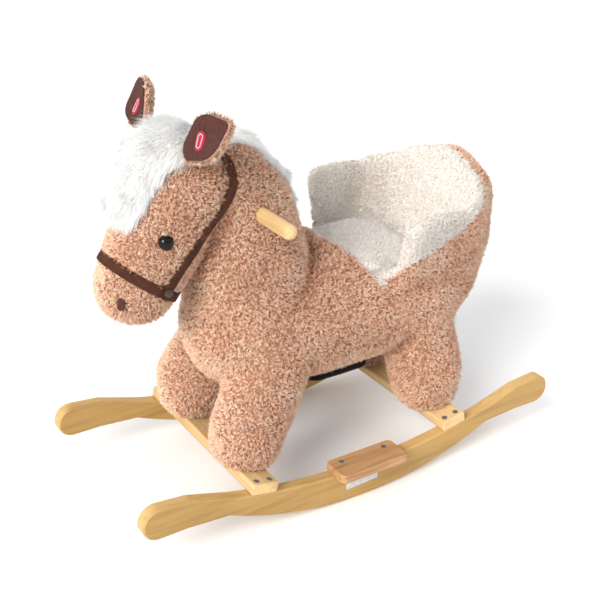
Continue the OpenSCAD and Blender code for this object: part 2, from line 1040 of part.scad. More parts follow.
color(wood) rocker();  // rocker_left
color(wood) mirror([1, 0, 0]) rocker();  // rocker_right
rocker_label();
crossbar(front_bar_y);  // crossbar_front
crossbar(rear_bar_y);  // crossbar_rear
rocker_screws();
footrest();  // footrest_left
mirror([1, 0, 0]) footrest();  // footrest_right
leg_post(front_bar_y);  // leg_post_front_left
mirror([1, 0, 0]) leg_post(front_bar_y);  // leg_post_front_right
leg_post(rear_bar_y);  // leg_post_rear_left
mirror([1, 0, 0]) leg_post(rear_bar_y);  // leg_post_rear_right
seat_board();
frame_screws();
neck_board();
neck_brackets();
bracket_screws();
back_board();
back_cleat();
handle_bar();
handle_screw();
body_plush();
belly_lining();
leg_plush(front_bar_y, pile) front_leg_hull();  // leg_plush_front_left
mirror([1, 0, 0]) leg_plush(front_bar_y, pile) front_leg_hull();  // leg_plush_front_right
leg_plush(rear_bar_y, pile) rear_leg_hull();  // leg_plush_rear_left
mirror([1, 0, 0]) leg_plush(rear_bar_y, pile) rear_leg_hull();  // leg_plush_rear_right
neck_plush();
head_plush();
backrest_plush();
backrest_lining();
seat_cushion();
forelock();
mane();
tail();
ear_pose() ear();  // ear_left
mirror([1, 0, 0]) ear_pose() ear();  // ear_right
ear_pose() ear_lining();  // ear_lining_left
mirror([1, 0, 0]) ear_pose() ear_lining();  // ear_lining_right
ear_patches();
eye();  // eye_left
mirror([1, 0, 0]) eye();  // eye_right
eye_washers();
nostrils();
noseband();
headstall();
bridle_studs();
ear_pose() switch_housing();  // switch_housing_left
mirror([1, 0, 0]) ear_pose() switch_housing();  // switch_housing_right
ear_pose() switch_button();  // switch_button_left
mirror([1, 0, 0]) ear_pose() switch_button();  // switch_button_right
ear_pose() switch_dome();  // switch_dome_left
mirror([1, 0, 0]) ear_pose() switch_dome();  // switch_dome_right
switch_leads();
sound_case();
sound_lid();
circuit_board();
speaker();
batteries();
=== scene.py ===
import json
import math

import bmesh
import bpy
import numpy as np
from mathutils import Matrix, Vector, noise
from mathutils.bvhtree import BVHTree


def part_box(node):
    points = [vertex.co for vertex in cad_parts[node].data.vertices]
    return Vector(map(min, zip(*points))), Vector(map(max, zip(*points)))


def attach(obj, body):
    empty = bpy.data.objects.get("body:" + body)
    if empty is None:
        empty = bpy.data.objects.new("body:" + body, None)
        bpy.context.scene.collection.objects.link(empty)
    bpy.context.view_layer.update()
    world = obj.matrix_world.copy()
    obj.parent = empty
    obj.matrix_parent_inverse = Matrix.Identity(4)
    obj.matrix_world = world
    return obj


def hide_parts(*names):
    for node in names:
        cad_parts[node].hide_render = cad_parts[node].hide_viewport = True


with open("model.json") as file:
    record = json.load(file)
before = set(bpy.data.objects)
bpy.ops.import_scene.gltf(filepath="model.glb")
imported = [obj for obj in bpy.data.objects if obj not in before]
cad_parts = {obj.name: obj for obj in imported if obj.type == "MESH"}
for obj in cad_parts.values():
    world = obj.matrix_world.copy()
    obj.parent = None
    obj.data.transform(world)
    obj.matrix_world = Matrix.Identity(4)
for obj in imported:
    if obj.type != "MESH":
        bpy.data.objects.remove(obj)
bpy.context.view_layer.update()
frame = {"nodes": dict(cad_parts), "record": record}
NODES = frame["nodes"]
MM = 0.001
RNG = np.random.default_rng(11)
# Noise vectors take their offsets from this seed, and from the clock without it
noise.seed_set(11)
HORSE = "horse"

# ---- the stuffed shapes, in mm

# Each shape is the hull of its balls: (centre, radius or radii)
TORSO = [((0, -95, 222), (99, 97, 88)), ((0, 120, 238), (106, 115, 104))]
NECK = [((0, -148, 424), 60), ((0, -116, 384), 66), ((0, -102, 262), 86), ((0, -52, 288), 40)]
HEAD = [((0, -194, 424), 68), ((0, -228, 364), 59), ((0, -256, 308), 50)]
BUCKET_SIDE = [
    ((92, 74, 286), 18),
    ((105, 75, 352), 23),
    ((94, 104, 350), 34),
    ((44, 198, 296), 46),
    ((84, 160, 352), 38),
    ((48, 205, 358), 38),
    ((72, 120, 276), 34),
    ((30, 176, 240), 60),
]
BUCKET_MIDDLE = [((0, 215, 374), 36), ((0, 192, 276), 58)]
FRONT_LEG = [((74, -148, 118), 48), ((70, -148, 96), 48), ((54, -96, 200), 53)]
REAR_LEG = [((74, 144, 118), 48), ((70, 144, 96), 48), ((54, 124, 200), 53)]

PILE = 6.0
VOXEL = 5.0


def mirrored(balls):
    return [((-c[0], c[1], c[2]), r) for c, r in balls]


def sphere_cloud(count):
    i = np.arange(count) + 0.5
    z = 1 - 2 * i / count
    turn = math.pi * (1 + 5**0.5) * i
    flat = np.sqrt(1 - z * z)
    return np.stack([flat * np.cos(turn), flat * np.sin(turn), z], 1)


CLOUD = sphere_cloud(340)


def cloud_of(balls, grow):
    points = []
    for centre, radii in balls:
        radii = np.array(radii if isinstance(radii, tuple) else (radii,) * 3, float) + grow
        points.append(np.array(centre, float) + CLOUD * radii)
    return np.concatenate(points) * MM


def mesh_from(bm, name):
    mesh = bpy.data.meshes.new(name)
    bm.to_mesh(mesh)
    bm.free()
    return mesh


def hull_mesh(name, points):
    bm = bmesh.new()
    for p in points:
        bm.verts.new(p)
    out = bmesh.ops.convex_hull(bm, input=bm.verts)
    spare = out["geom_interior"] + out["geom_unused"]
    inside = {g for g in spare if isinstance(g, bmesh.types.BMVert)}
    bmesh.ops.delete(bm, geom=list(inside), context="VERTS")
    bmesh.ops.recalc_face_normals(bm, faces=bm.faces)
    return mesh_from(bm, name)


def new_object(name, mesh):
    obj = bpy.data.objects.new(name, mesh)
    bpy.context.scene.collection.objects.link(obj)
    return obj


def joined(name, meshes):
    """One mesh of several."""
    bm = bmesh.new()
    for mesh in meshes:
        bm.from_mesh(mesh)
    return mesh_from(bm, name)


def smooth_shaded(mesh):
    for polygon in mesh.polygons:
        polygon.use_smooth = True
    return mesh


def applied(obj):
    """Puts the object's modifiers into its mesh."""
    shown = obj.evaluated_get(bpy.context.evaluated_depsgraph_get())
    mesh = bpy.data.meshes.new_from_object(shown)
    obj.modifiers.clear()
    obj.data = mesh
    return obj


def voxelled(obj, size):
    mod = obj.modifiers.new("voxels", "REMESH")
    mod.mode = "VOXEL"
    mod.voxel_size = size * MM
    return applied(obj)


def cut_by(obj, cutter_mesh):
    tool = new_object("cutter", cutter_mesh)
    mod = obj.modifiers.new("cut", "BOOLEAN")
    mod.operation = "DIFFERENCE"
    mod.solver = "EXACT"
    mod.object = tool
    applied(obj)
    bpy.data.objects.remove(tool)
    return obj


def smoothed(obj, factor, rounds):
    mod = obj.modifiers.new("smooth", "SMOOTH")
    mod.factor = factor
    mod.iterations = rounds
    return applied(obj)


def prism_points(profile, half_width):
    """A profile of (y, z) pairs swept across the horse."""
    return np.array([(x, y, z) for x in (-half_width, half_width) for y, z in profile], float) * MM


# The sitter's room at its floor and at its top: (height, half width, back)
ROOM_FLOOR, ROOM_TOP = (286, 86, 140), (446, 136, 224)
ROOM_CORNER = 40
ROOM_SIDES_END = 60
# The edge of its open front: (half width, y, height)
ROOM_FRONT = [(84, 44, 292), (96, -6, 330), (108, -34, 366), (130, -34, 446)]


def room_points():
    """The sitter's room: a round-cornered floor that widens and leans back as it rises."""
    points = []
    r = ROOM_CORNER
    for z, half, back in (ROOM_FLOOR, ROOM_TOP):
        for side in (-1, 1):
            for a in np.linspace(0, math.pi / 2, 12):
                points.append((side * (half - r + r * math.cos(a)), back - r + r * math.sin(a), z))
        points += [(side * half, ROOM_SIDES_END, z) for side in (-1, 1)]
    points += [(side * x, y, z) for x, y, z in ROOM_FRONT for side in (-1, 1)]
    return np.array(points, float) * MM


# The notch for the sitter's thighs, between the withers and the wings
NOTCH = [(46, 276), (34, 289), (-10, 328), (-34, 364), (-34, 470), (52, 470), (52, 292)]
NOTCH_HALF_WIDTH = 170
# How far the legs' covers end above the crossbars
LEG_GAP = 1.5


def plane_of_top(node):
    """A crossbar's upper face: a point on it and its normal."""
    best = max((p for p in NODES[node].data.polygons if p.normal.z > 0.8), key=lambda p: p.area)
    return Vector(best.center), Vector(best.normal)


def under_plane(centre, normal):
    """A large box whose top is the plane."""
    bm = bmesh.new()
    bmesh.ops.create_cube(bm, size=0.5)
    turn = normal.to_track_quat("Z", "Y").to_matrix().to_4x4()
    place = Matrix.Translation(centre) @ turn @ Matrix.Translation((0, 0, -0.25))
    bmesh.ops.transform(bm, matrix=place, verts=bm.verts)
    return mesh_from(bm, "under")


def horse_skin():
    shapes = [TORSO, NECK, HEAD, BUCKET_SIDE + mirrored(BUCKET_SIDE) + BUCKET_MIDDLE]
    meshes = [hull_mesh("s", cloud_of(s, -PILE)) for s in shapes]
    for bar, leg in (("crossbar_front", FRONT_LEG), ("crossbar_rear", REAR_LEG)):
        centre, normal = plane_of_top(bar)
        for balls in (leg, mirrored(leg)):
            part = new_object("leg", hull_mesh("leg", cloud_of(balls, -PILE)))
            cut_by(part, under_plane(centre + normal * LEG_GAP * MM, normal))
            meshes.append(part.data)
            bpy.data.objects.remove(part)
    skin = new_object("skin", joined("skin", meshes))
    voxelled(skin, VOXEL)
    cut_by(skin, hull_mesh("room", room_points()))
    cut_by(skin, hull_mesh("notch", prism_points(NOTCH, NOTCH_HALF_WIDTH)))
    voxelled(skin, VOXEL)
    smoothed(skin, 0.5, 7)
    return skin


skin = horse_skin()


def arrays_of(mesh):
    """Points, corner triples and point normals of a mesh, as arrays."""
    mesh.calc_loop_triangles()
    points = np.empty(len(mesh.vertices) * 3)
    mesh.vertices.foreach_get("co", points)
    normals = np.empty(len(mesh.vertices) * 3)
    mesh.vertices.foreach_get("normal", normals)
    tris = np.empty(len(mesh.loop_triangles) * 3, int)
    mesh.loop_triangles.foreach_get("vertices", tris)
    return points.reshape(-1, 3), tris.reshape(-1, 3), normals.reshape(-1, 3)


def lumps(points, scale, seed):
    """Smooth noise from -1 to 1 at each point."""
    shift = Vector((seed * 7.3, seed * 3.1, seed * 5.7))
    return np.array([noise.noise(Vector(p) / scale + shift) for p in points])


def stuff(obj, depth, scale, seed):
    """Moves the points along their normals by soft lumps, as loose filling does."""
    points, _, normals = arrays_of(obj.data)
    points = points + normals * (lumps(points, scale, seed) * depth)[:, None]
    obj.data.vertices.foreach_set("co", points.ravel())
    obj.data.update()


# In mm: how far the filling pushes the covers out and in
LUMP_DEPTH = 2.2
stuff(skin, LUMP_DEPTH * MM, 0.055, 1)
SKIN_POINTS, SKIN_TRIS, SKIN_NORMALS = arrays_of(skin.data)
SKIN_TREE = BVHTree.FromPolygons(
    [Vector(p) for p in SKIN_POINTS], [tuple(map(int, t)) for t in SKIN_TRIS]
)


def hollows(points, tris, normals, rounds):
    """How deep in a crease each triangle lies, in mm: its distance below the evened-out surface."""
    pairs = np.concatenate([tris[:, [0, 1]], tris[:, [1, 2]], tris[:, [2, 0]]])
    pairs = np.concatenate([pairs, pairs[:, ::-1]])
    count = len(points)
    share = np.bincount(pairs[:, 0], minlength=count)[:, None]
    even = points
    for _ in range(rounds):
        near = even[pairs[:, 1]]
        total = [np.bincount(pairs[:, 0], weights=near[:, k], minlength=count) for k in range(3)]
        even = np.stack(total, 1) / share
    depth = np.sum((even - points) * normals, 1) / MM
    return depth[tris].mean(1)


SKIN_HOLLOWS = hollows(SKIN_POINTS, SKIN_TRIS, SKIN_NORMALS, 30)

# ---- which cover a point belongs to

# The seams between the covers, in mm
LINING_LOW_Z = 278
LEG_SEAM_Z, LEG_INNER_X = 166, 22
BACK_SEAM = (20, 284)
NECK_SEAM = (-12, 262)
HEAD_SEAM = (-205, 300)
HEAD_SEAM_TILT = math.radians(-15.8)
HEAD_LIMITS = (-180, 250)
# The lining ends at the withers where y + a z - b |x| passes c
WITHERS = (0.4615, 0.2577, 142.9)
# Both straight edges of the lining on the wings: (y, z, slope), and the wings' rear end
WING_EDGES = ((42, 268, 1.4), (70, 307, 0.5))
WING_END = 196


def near_room(p, gap):
    """True where a point lies inside the room's walls or within gap mm of them."""
    x, y, z = np.abs(p[:, 0]), p[:, 1], p[:, 2]
    (low, low_half, low_back), (high, high_half, high_back) = ROOM_FLOOR, ROOM_TOP
    rise = (z - low) / (high - low)
    half = low_half + (high_half - low_half) * rise + gap
    back = low_back + (high_back - low_back) * rise + gap
    r = ROOM_CORNER + gap
    dx = np.maximum(x - (half - r), 0)
    dy = np.maximum(y - (back - r), 0)
    return (z > LINING_LOW_Z) & (np.hypot(dx, dy) < r)


def cover_of(points):
    """Names the cover of each point, given in metres."""
    p = points / MM
    x, y, z = p[:, 0], p[:, 1], p[:, 2]
    names = np.full(len(p), "body", dtype=object)
    for end, facing in (("front", -1), ("rear", 1)):
        for word, side in (("left", 1), ("right", -1)):
            leg = (z < LEG_SEAM_Z) & (y * facing > 0) & (x * side > LEG_INNER_X)
            names[leg] = "leg_" + end + "_" + word
    names[(z > BACK_SEAM[1]) & (y > BACK_SEAM[0])] = "back"
    names[(z > NECK_SEAM[1]) & (y < NECK_SEAM[0])] = "neck"
    ahead = (y - HEAD_SEAM[0]) * math.cos(HEAD_SEAM_TILT)
    ahead += (z - HEAD_SEAM[1]) * math.sin(HEAD_SEAM_TILT)
    names[(ahead < 0) & (z > HEAD_LIMITS[1]) & (y < HEAD_LIMITS[0])] = "head"
    withers = y + WITHERS[0] * z - WITHERS[1] * np.abs(x) > WITHERS[2]
    edges = [height + slope * (y - start) for start, height, slope in WING_EDGES]
    wings = (z > np.minimum(*edges)) & (y < WING_END)
    turned_over = np.clip((z - LINING_LOW_Z) / 2 + 1, 2, 13)
    lined = withers & (y > NECK_SEAM[0]) & (z > NECK_SEAM[1])
    names[lined & (near_room(p, turned_over) | wings)] = "lining"
    return names


# ---- materials


def shader_material(name, colour, rough):
    """A Principled material with a plain start, and its node tree."""
    mat = bpy.data.materials.new(name)
    mat.use_nodes = True
    tree = mat.node_tree
    shader = tree.nodes["Principled BSDF"]
    shader.inputs["Base Color"].default_value = (*colour, 1)
    shader.inputs["Roughness"].default_value = rough
    return mat, tree, shader


def node(tree, kind, **values):
    n = tree.nodes.new("ShaderNode" + kind)
    for key, value in values.items():
        if hasattr(n, key):
            setattr(n, key, value)
        else:
            n.inputs[key.replace("_", " ").title()].default_value = value
    return n


def ramp(tree, source, stops):
    r = tree.nodes.new("ShaderNodeValToRGB")
    while len(r.color_ramp.elements) < len(stops):
        r.color_ramp.elements.new(0.5)
    for element, (place, colour) in zip(r.color_ramp.elements, stops):
        element.position = place
        element.color = (*colour, 1) if len(colour) == 3 else colour
    tree.links.new(source, r.inputs[0])
    return r


def texture(tree, kind, scale, **settings):
    """A texture over the piece's own coordinates, stretched by scale."""
    coords = tree.nodes.new("ShaderNodeTexCoord")
    mapping = tree.nodes.new("ShaderNodeMapping")
    mapping.inputs["Scale"].default_value = scale
    tree.links.new(coords.outputs["Object"], mapping.inputs["Vector"])
    made = node(tree, kind, scale=1.0, **settings)
    tree.links.new(mapping.outputs["Vector"], made.inputs["Vector"])
    return made.outputs["Fac"]


def add_bump(tree, shader, height, strength, distance):
    bump = tree.nodes.new("ShaderNodeBump")
    bump.inputs["Strength"].default_value = strength
    bump.inputs["Distance"].default_value = distance
    tree.links.new(height, bump.inputs["Height"])
    tree.links.new(bump.outputs["Normal"], shader.inputs["Normal"])


def pile_material(name, tones, root_shade):
    """Pile strands. The map's first number picks the tone, the second runs from root to tip;
    root_shade darkens the roots as painted shade deep in the pile.
    """
    mat, tree, shader = shader_material(name, tones[len(tones) // 2], 0.85)
    uv = tree.nodes.new("ShaderNodeUVMap")
    uv.uv_map = "OFBake"
    parts = tree.nodes.new("ShaderNodeSeparateXYZ")
    tree.links.new(uv.outputs["UV"], parts.inputs[0])
    steps = [(i / (len(tones) - 1), tone) for i, tone in enumerate(tones)]
    tone = ramp(tree, parts.outputs["X"], steps)
    # Painted shade: each strand darkens towards its root, where the pile shades itself
    shades = [(0.0, root_shade), (0.55, (0.95, 0.95, 0.95)), (1.0, (1, 1, 1))]
    along = ramp(tree, parts.outputs["Y"], shades)
    mix = tree.nodes.new("ShaderNodeMix")
    mix.data_type = "RGBA"
    mix.blend_type = "MULTIPLY"
    mix.inputs["Factor"].default_value = 1.0
    first, second = (socket for socket in mix.inputs if socket.type == "RGBA")
    tree.links.new(tone.outputs["Color"], first)
    tree.links.new(along.outputs["Color"], second)
    result = next(socket for socket in mix.outputs if socket.type == "RGBA")
    tree.links.new(result, shader.inputs["Base Color"])
    shader.inputs["Sheen Weight"].default_value = 0.25
    shader.inputs["Sheen Roughness"].default_value = 0.5
    return mat


def grained(name, rough, kind, scale, stops, bump, depth, **settings):
    """A material whose tone and bump both follow one texture."""
    mat, tree, shader = shader_material(name, stops[-1][1], rough)
    height = texture(tree, kind, (scale, scale, scale), **settings)
    tone = ramp(tree, height, stops)
    tree.links.new(tone.outputs["Color"], shader.inputs["Base Color"])
    if bump:
        add_bump(tree, shader, height, bump, depth)
    return mat


def knit_material(name, low, high, scale):
    """The backing cloth that shows between the strands."""
    stops = [(0.35, low), (0.65, high)]
    return grained(name, 0.95, "TexNoise", scale, stops, 0.6, 0.001, detail=5.0, roughness=0.65)


def principled(mat):
    return mat.node_tree.nodes["Principled BSDF"]


TAN_TONES = [
    (0.33, 0.13, 0.07),
    (0.66, 0.32, 0.185),
    (0.90, 0.51, 0.325),
    (0.99, 0.67, 0.465),
    (1.0, 0.86, 0.70),
]
CREAM_TONES = [(0.70, 0.62, 0.55), (0.86, 0.79, 0.73), (0.93, 0.87, 0.81), (0.95, 0.91, 0.87)]
WHITE_TONES = [(0.90, 0.92, 0.95), (0.95, 0.96, 0.97), (0.98, 0.98, 0.97), (0.98, 0.97, 0.93)]

# The last colour of each is the painted shade at the strands' roots
tan_strands = pile_material("tan_strands", TAN_TONES, (0.42, 0.32, 0.28))
cream_strands = pile_material("cream_strands", CREAM_TONES, (0.75, 0.72, 0.70))
white_strands = pile_material("white_strands", WHITE_TONES, (0.95, 0.96, 0.98))
# White hair passes light on from strand to strand, which a little glow stands for
white_shader = principled(white_strands)
white_shader.inputs["Emission Color"].default_value = (1.0, 0.98, 0.95, 1)
white_shader.inputs["Emission Strength"].default_value = 0.06
# The backing cloths are given darker tones than their strands, as painted shade in the gaps between
# them
tan_knit = knit_material("tan_knit", (0.30, 0.15, 0.10), (0.50, 0.27, 0.18), 260)
cream_knit = knit_material("cream_knit", (0.60, 0.55, 0.48), (0.80, 0.76, 0.70), 260)
white_knit = knit_material("white_knit", (0.74, 0.77, 0.83), (0.92, 0.93, 0.94), 200)

# ---- the covers

LEGS = ["front_left", "front_right", "rear_left", "rear_right"]
COVERS = {
    "body": ("body_cover", "body_plush"),
    "neck": ("neck_cover", "neck_plush"),
    "head": ("head_cover", "head_plush"),
    "back": ("back_cover", "backrest_plush"),
    "lining": ("seat_lining", "backrest_lining"),
}
for leg in LEGS:
    COVERS["leg_" + leg] = ("leg_cover_" + leg, "leg_plush_" + leg)


def dress(piece, material, slot_name, cad=None, fill=None):
    """Gives a piece its material, hides the CAD part it stands for and hangs it on the horse.
    slot_name is not used.
    """
    piece.data.materials.append(material)
    if cad:
        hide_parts(cad)
    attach(piece, HORSE)


def patch(name, wanted, thickness=2.5, offset=-1):
    """The part of the skin whose faces are wanted, as a closed cloth."""
    bm = bmesh.new()
    bm.from_mesh(skin.data)
    bm.faces.ensure_lookup_table()
    bmesh.ops.delete(bm, geom=[f for f, keep in zip(bm.faces, wanted) if not keep], context="FACES")
    obj = new_object(name, smooth_shaded(mesh_from(bm, name)))
    mod = obj.modifiers.new("thick", "SOLIDIFY")
    mod.thickness = thickness * MM
    mod.offset = offset
    return applied(obj)


centres = np.array([p.center for p in skin.data.polygons])
face_cover = cover_of(centres)
for cover, (name, cad) in COVERS.items():
    cloth = (cream_knit, "cream_plush") if cover == "lining" else (tan_knit, "tan_plush")
    dress(patch(name, face_cover == cover), *cloth, cad, 0.85)

# ---- pile


def unit(v):
    return v / np.maximum(np.linalg.norm(v, axis=1, keepdims=True), 1e-9)


def scatter(points, tris, normals, per_mm2, rng):
    """Even random places on a mesh, with their normals."""
    a, b, c = (points[tris[:, i]] for i in range(3))
    area = np.linalg.norm(np.cross(b - a, c - a), axis=1) / 2 / MM**2
    count = np.floor(area * per_mm2 + rng.random(len(area))).astype(int)
    pick = np.repeat(np.arange(len(tris)), count)
    u, v = rng.random(len(pick)), rng.random(len(pick))
    over = u + v > 1
    u[over], v[over] = 1 - u[over], 1 - v[over]
    w = 1 - u - v
    t = tris[pick]
    shares = np.stack([w, u, v], 1)[:, :, None]
    return (points[t] * shares).sum(1), unit((normals[t] * shares).sum(1))


def ring_of_three(axis, aside):
    """Three directions round each axis, the first one square to aside."""
    side = unit(np.cross(axis, aside))
    other = np.cross(axis, side)
    turn = np.arange(3) * 2 * math.pi / 3
    return side[:, None] * np.cos(turn)[None, :, None] + other[:, None] * np.sin(turn)[None, :, None]


def repeated_mesh(name, verts, pattern, totals, tone, spread, level, material):
    """One mesh of many equal strands. verts is strands x points x 3, and the faces of every strand
    follow pattern and totals. The map holds each corner's tone, spread a little, and its level."""
    count, per = verts.shape[:2]
    loops = (pattern[None] + np.arange(count)[:, None] * per).ravel()
    totals_all = np.tile(totals, count)
    starts = np.concatenate([[0], np.cumsum(totals_all)[:-1]])
    mesh = bpy.data.meshes.new(name)
    mesh.vertices.add(count * per)
    mesh.vertices.foreach_set("co", verts.astype(np.float32).ravel())
    mesh.loops.add(len(loops))
    mesh.loops.foreach_set("vertex_index", loops.astype(np.int32))
    mesh.polygons.add(len(totals_all))
    mesh.polygons.foreach_set("loop_start", starts.astype(np.int32))
    mesh.polygons.foreach_set("use_smooth", np.ones(len(totals_all), bool))
    u = np.clip(tone[:, None], 0.01, 0.99) + spread[None]
    v = np.broadcast_to(level[None] * 0.98 + 0.01, u.shape)
    layer = mesh.uv_layers.new(name="OFBake")
    layer.data.foreach_set("uv", np.stack([u, v], 2).astype(np.float32).ravel())
    mesh.materials.append(material)
    mesh.update(calc_edges=True)
    return mesh


def strand_mesh(name, path, radii, tone, material):
    """Strands as tapered three-sided tubes. path is strands x rings x 3, its last ring the tip."""
    count, rings = path.shape[:2]
    body = rings - 1
    axis = unit(path[:, -1] - path[:, 0])
    ring = ring_of_three(axis, unit(path[:, 1] - path[:, 0] + np.array([0.0013, 0.0007, 0.0011])))
    tube = path[:, :body, None] + ring[:, None] * radii[:, :body, None, None]
    verts = np.concatenate([tube.reshape(count, body * 3, 3), path[:, -1:]], 1)
    quads = []
    for k in range(body - 1):
        for j in range(3):
            n = (j + 1) % 3
            quads.append((k * 3 + j, k * 3 + n, k * 3 + 3 + n, k * 3 + 3 + j))
    last = (body - 1) * 3
    tip = body * 3
    caps = [(last + j, last + (j + 1) % 3, tip) for j in range(3)]
    pattern = np.array([i for f in quads for i in f] + [i for f in caps for i in f])
    totals = np.array([4] * len(quads) + [3] * len(caps))
    level = np.minimum(pattern // 3, body) / body
    spread = (pattern % 3 - 1) * 0.004
    return repeated_mesh(name, verts, pattern, totals, tone, spread, level, material)


def spindle_mesh(name, path, radii, tone, material):
    """Short strands as closed spindles: root, a ring of three at the bend, and tip."""
    ring = ring_of_three(unit(path[:, 2] - path[:, 0]), np.array([0.31, 0.52, 0.79]))
    bend = path[:, 1:2] + ring * radii[:, 1, None, None]
    verts = np.concatenate([path[:, :1], bend, path[:, 2:]], 1)
    pattern = np.array([0, 2, 1, 0, 3, 2, 0, 1, 3, 4, 1, 2, 4, 2, 3, 4, 3, 1])
    level = np.array([0.0, 0.5, 0.5, 0.5, 1.0])[pattern]
    spread = np.array([0.0, -0.005, 0.0, 0.005, 0.0])[pattern]
    return repeated_mesh(name, verts, pattern, np.full(6, 3), tone, spread, level, material)


def soften(mesh, shade, share):
    """Turns each strand's shading normals towards the cloth's own, as dense pile is lit."""
    own = np.empty(len(mesh.vertices) * 3)
    mesh.vertices.foreach_get("normal", own)
    own = own.reshape(-1, 3)
    cloth = np.repeat(shade, len(own) // len(shade), 0)
    mesh.normals_split_custom_set_from_vertices(unit(own * (1 - share) + cloth * share))


MOST_TRIANGLES = 190000


def pile_pieces(stem, path, radii, tone, material, shade, share):
    """Adds the strands as pieces of fewer than 200,000 triangles each."""
    rings = path.shape[1]
    most = MOST_TRIANGLES // (6 if rings == 3 else (rings - 2) * 6 + 3)
    parts = max(1, math.ceil(len(path) / most))
    order = np.argsort(path[:, 0, 1], kind="stable")
    build = spindle_mesh if rings == 3 else strand_mesh
    for number, pick in enumerate(np.array_split(order, parts)):
        name = stem if parts == 1 else f"{stem}_{number + 1}"
        mesh = build(name, path[pick], radii[pick], tone[pick], material)
        soften(mesh, shade[pick], share)
        obj = new_object(name, mesh)
        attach(obj, HORSE)


def vector_lumps(points, scale, seed):
    """A smoothly changing vector at each point."""
    shift = Vector((seed * 4.3, seed * 9.1, seed * 2.7))
    return np.array([noise.noise_vector(Vector(p) / scale + shift) for p in points])


# Strands in a tuft, and how far a tuft leans over
TUFT = 5
LEAN = 0.8
ROOT_DEPTH = 0.8
TIP_STRAY = 1.0


def curly(place, normal, length, curl, fat, spread, rng, seed):
    """Tufts of short curled strands. All lengths in mm."""
    n = len(place)
    drift = vector_lumps(place, 0.007, seed) * 1.2 + rng.normal(0, 0.5, (n, 3))
    drift -= normal * np.sum(drift * normal, 1, keepdims=True)
    heading = unit(normal + drift * LEAN)
    reach = length * (0.8 + 0.4 * rng.random(n))
    place, normal, heading = (np.repeat(a, TUFT, 0) for a in (place, normal, heading))
    reach = np.repeat(reach, TUFT) * (0.75 + 0.4 * rng.random(n * TUFT))
    m = len(place)
    offset = rng.normal(0, 1, (m, 3))
    offset -= normal * np.sum(offset * normal, 1, keepdims=True)
    root = place + offset * spread * MM - normal * ROOT_DEPTH * MM
    stray = rng.normal(0, TIP_STRAY * MM, (m, 3))
    tip = place + heading * (reach * MM)[:, None] + stray
    bend = unit(np.cross(heading, rng.normal(0, 1, (m, 3)))) * (curl * MM)
    middle = root * 0.45 + tip * 0.55 + bend * 0.5 + normal * 0.6 * MM
    path = np.stack([root, middle, tip], 1)
    size = fat * (0.8 + 0.4 * rng.random(m)) * MM
    radii = np.stack([size * 0, size, size * 0], 1)
    return path, radii, normal


MEAN_TONE = 0.6
TONE_PATCH = 0.045


def tones(points, coarse, fine, rng, seed):
    """A tone from 0 to 1 for each strand: its part of the cloth, its tuft and the strand itself."""
    broad = lumps(points, TONE_PATCH, seed) * coarse
    tuft = np.repeat(rng.normal(0, fine, len(points) // TUFT), TUFT)
    own = rng.normal(0, fine / 2, len(points))
    return np.clip(MEAN_TONE + broad + tuft + own, 0.02, 0.98)


# ---- places along the bridle, and the bare spots round the fittings


def on_skin(p_mm, lift):
    """The nearest place on the skin, lifted off it, and the skin's normal there. In metres."""
    place, normal, _, _ = SKIN_TREE.find_nearest(Vector(p_mm) * MM)
    return place + normal * lift * MM, normal


def spline(points, steps):
    """A smooth curve through the points."""
    p = [np.array(q, float) for q in points]
    p = [2 * p[0] - p[1]] + p + [2 * p[-1] - p[-2]]
    out = []
    for a, b, c, d in zip(p, p[1:], p[2:], p[3:]):
        for k in range(steps):
            t = k / steps
            start = 2 * b + (c - a) * t + (2 * a - 5 * b + 4 * c - d) * t**2
            out.append(0.5 * (start + (3 * b - a - 3 * c + d) * t**3))
    out.append(p[-2])
    return out


STRAP_W = 12.5
NOSE_CENTRE = np.array((0, -248, 318.0))
NOSE_TILT = math.radians(35)
NOSE_NORMAL = np.array((0, math.sin(NOSE_TILT), math.cos(NOSE_TILT)))
# In metres: the noseband is pulled straight where the muzzle falls away from it
MOST_NOSE_REACH = 0.054
CHEEK = [
    (48, -240, 313),
    (56, -214, 352),
    (60, -185, 390),
    (60, -167, 415),
    (58, -157, 440),
    (50, -160, 474),
]
POLL = [(26, -164, 492), (0, -168, 498)]
HALF_HEADSTALL = CHEEK + POLL
HEADSTALL = spline(HALF_HEADSTALL + [(-x, y, z) for x, y, z in HALF_HEADSTALL[-2::-1]], 8)


def noseband_path(count):
    """The closed line that the noseband follows round the muzzle."""
    across = np.array((1.0, 0, 0))
    down = np.cross(NOSE_NORMAL, across)
    path = []
    for angle in np.linspace(0, 2 * math.pi, count, endpoint=False):
        out = Vector(across * math.cos(angle) + down * math.sin(angle))
        place, _, _, reach = SKIN_TREE.ray_cast(Vector(NOSE_CENTRE) * MM, out)
        if reach > MOST_NOSE_REACH:
            place = Vector(NOSE_CENTRE) * MM + out * MOST_NOSE_REACH
        path.append((place, out))
    return path


NOSEBAND = noseband_path(72)
# Bare patches round the fittings: (centre, radius) of the left one
BARE_SPOTS = [((53.5, -241, 378.0), 9.5), ((34.5, -290, 306.0), 8.0)]
HANDLE_CENTRE = (-122.0, 391.0)
HANDLE_BARE_RADIUS = 10.5
NOSEBAND_REACH = 12


def clear_of_fittings(p):
    """False where strands would stand in the bridle, eyes, nostrils or handle. p in mm."""
    keep = np.ones(len(p), bool)
    for q in HEADSTALL:
        keep &= np.linalg.norm(p - q, axis=1) > STRAP_W / 2 + 1.5
    for place, _ in NOSEBAND:
        q = np.array(place) / MM
        near = np.linalg.norm(p - q, axis=1) < NOSEBAND_REACH
        keep &= ~(near & (np.abs((p - q) @ NOSE_NORMAL) < STRAP_W / 2))
    both_sides = np.column_stack([np.abs(p[:, 0]), p[:, 1:]])
    for centre, radius in BARE_SPOTS:
        keep &= np.linalg.norm(both_sides - centre, axis=1) > radius
    keep &= np.linalg.norm(p[:, 1:] - HANDLE_CENTRE, axis=1) > HANDLE_BARE_RADIUS
    return keep


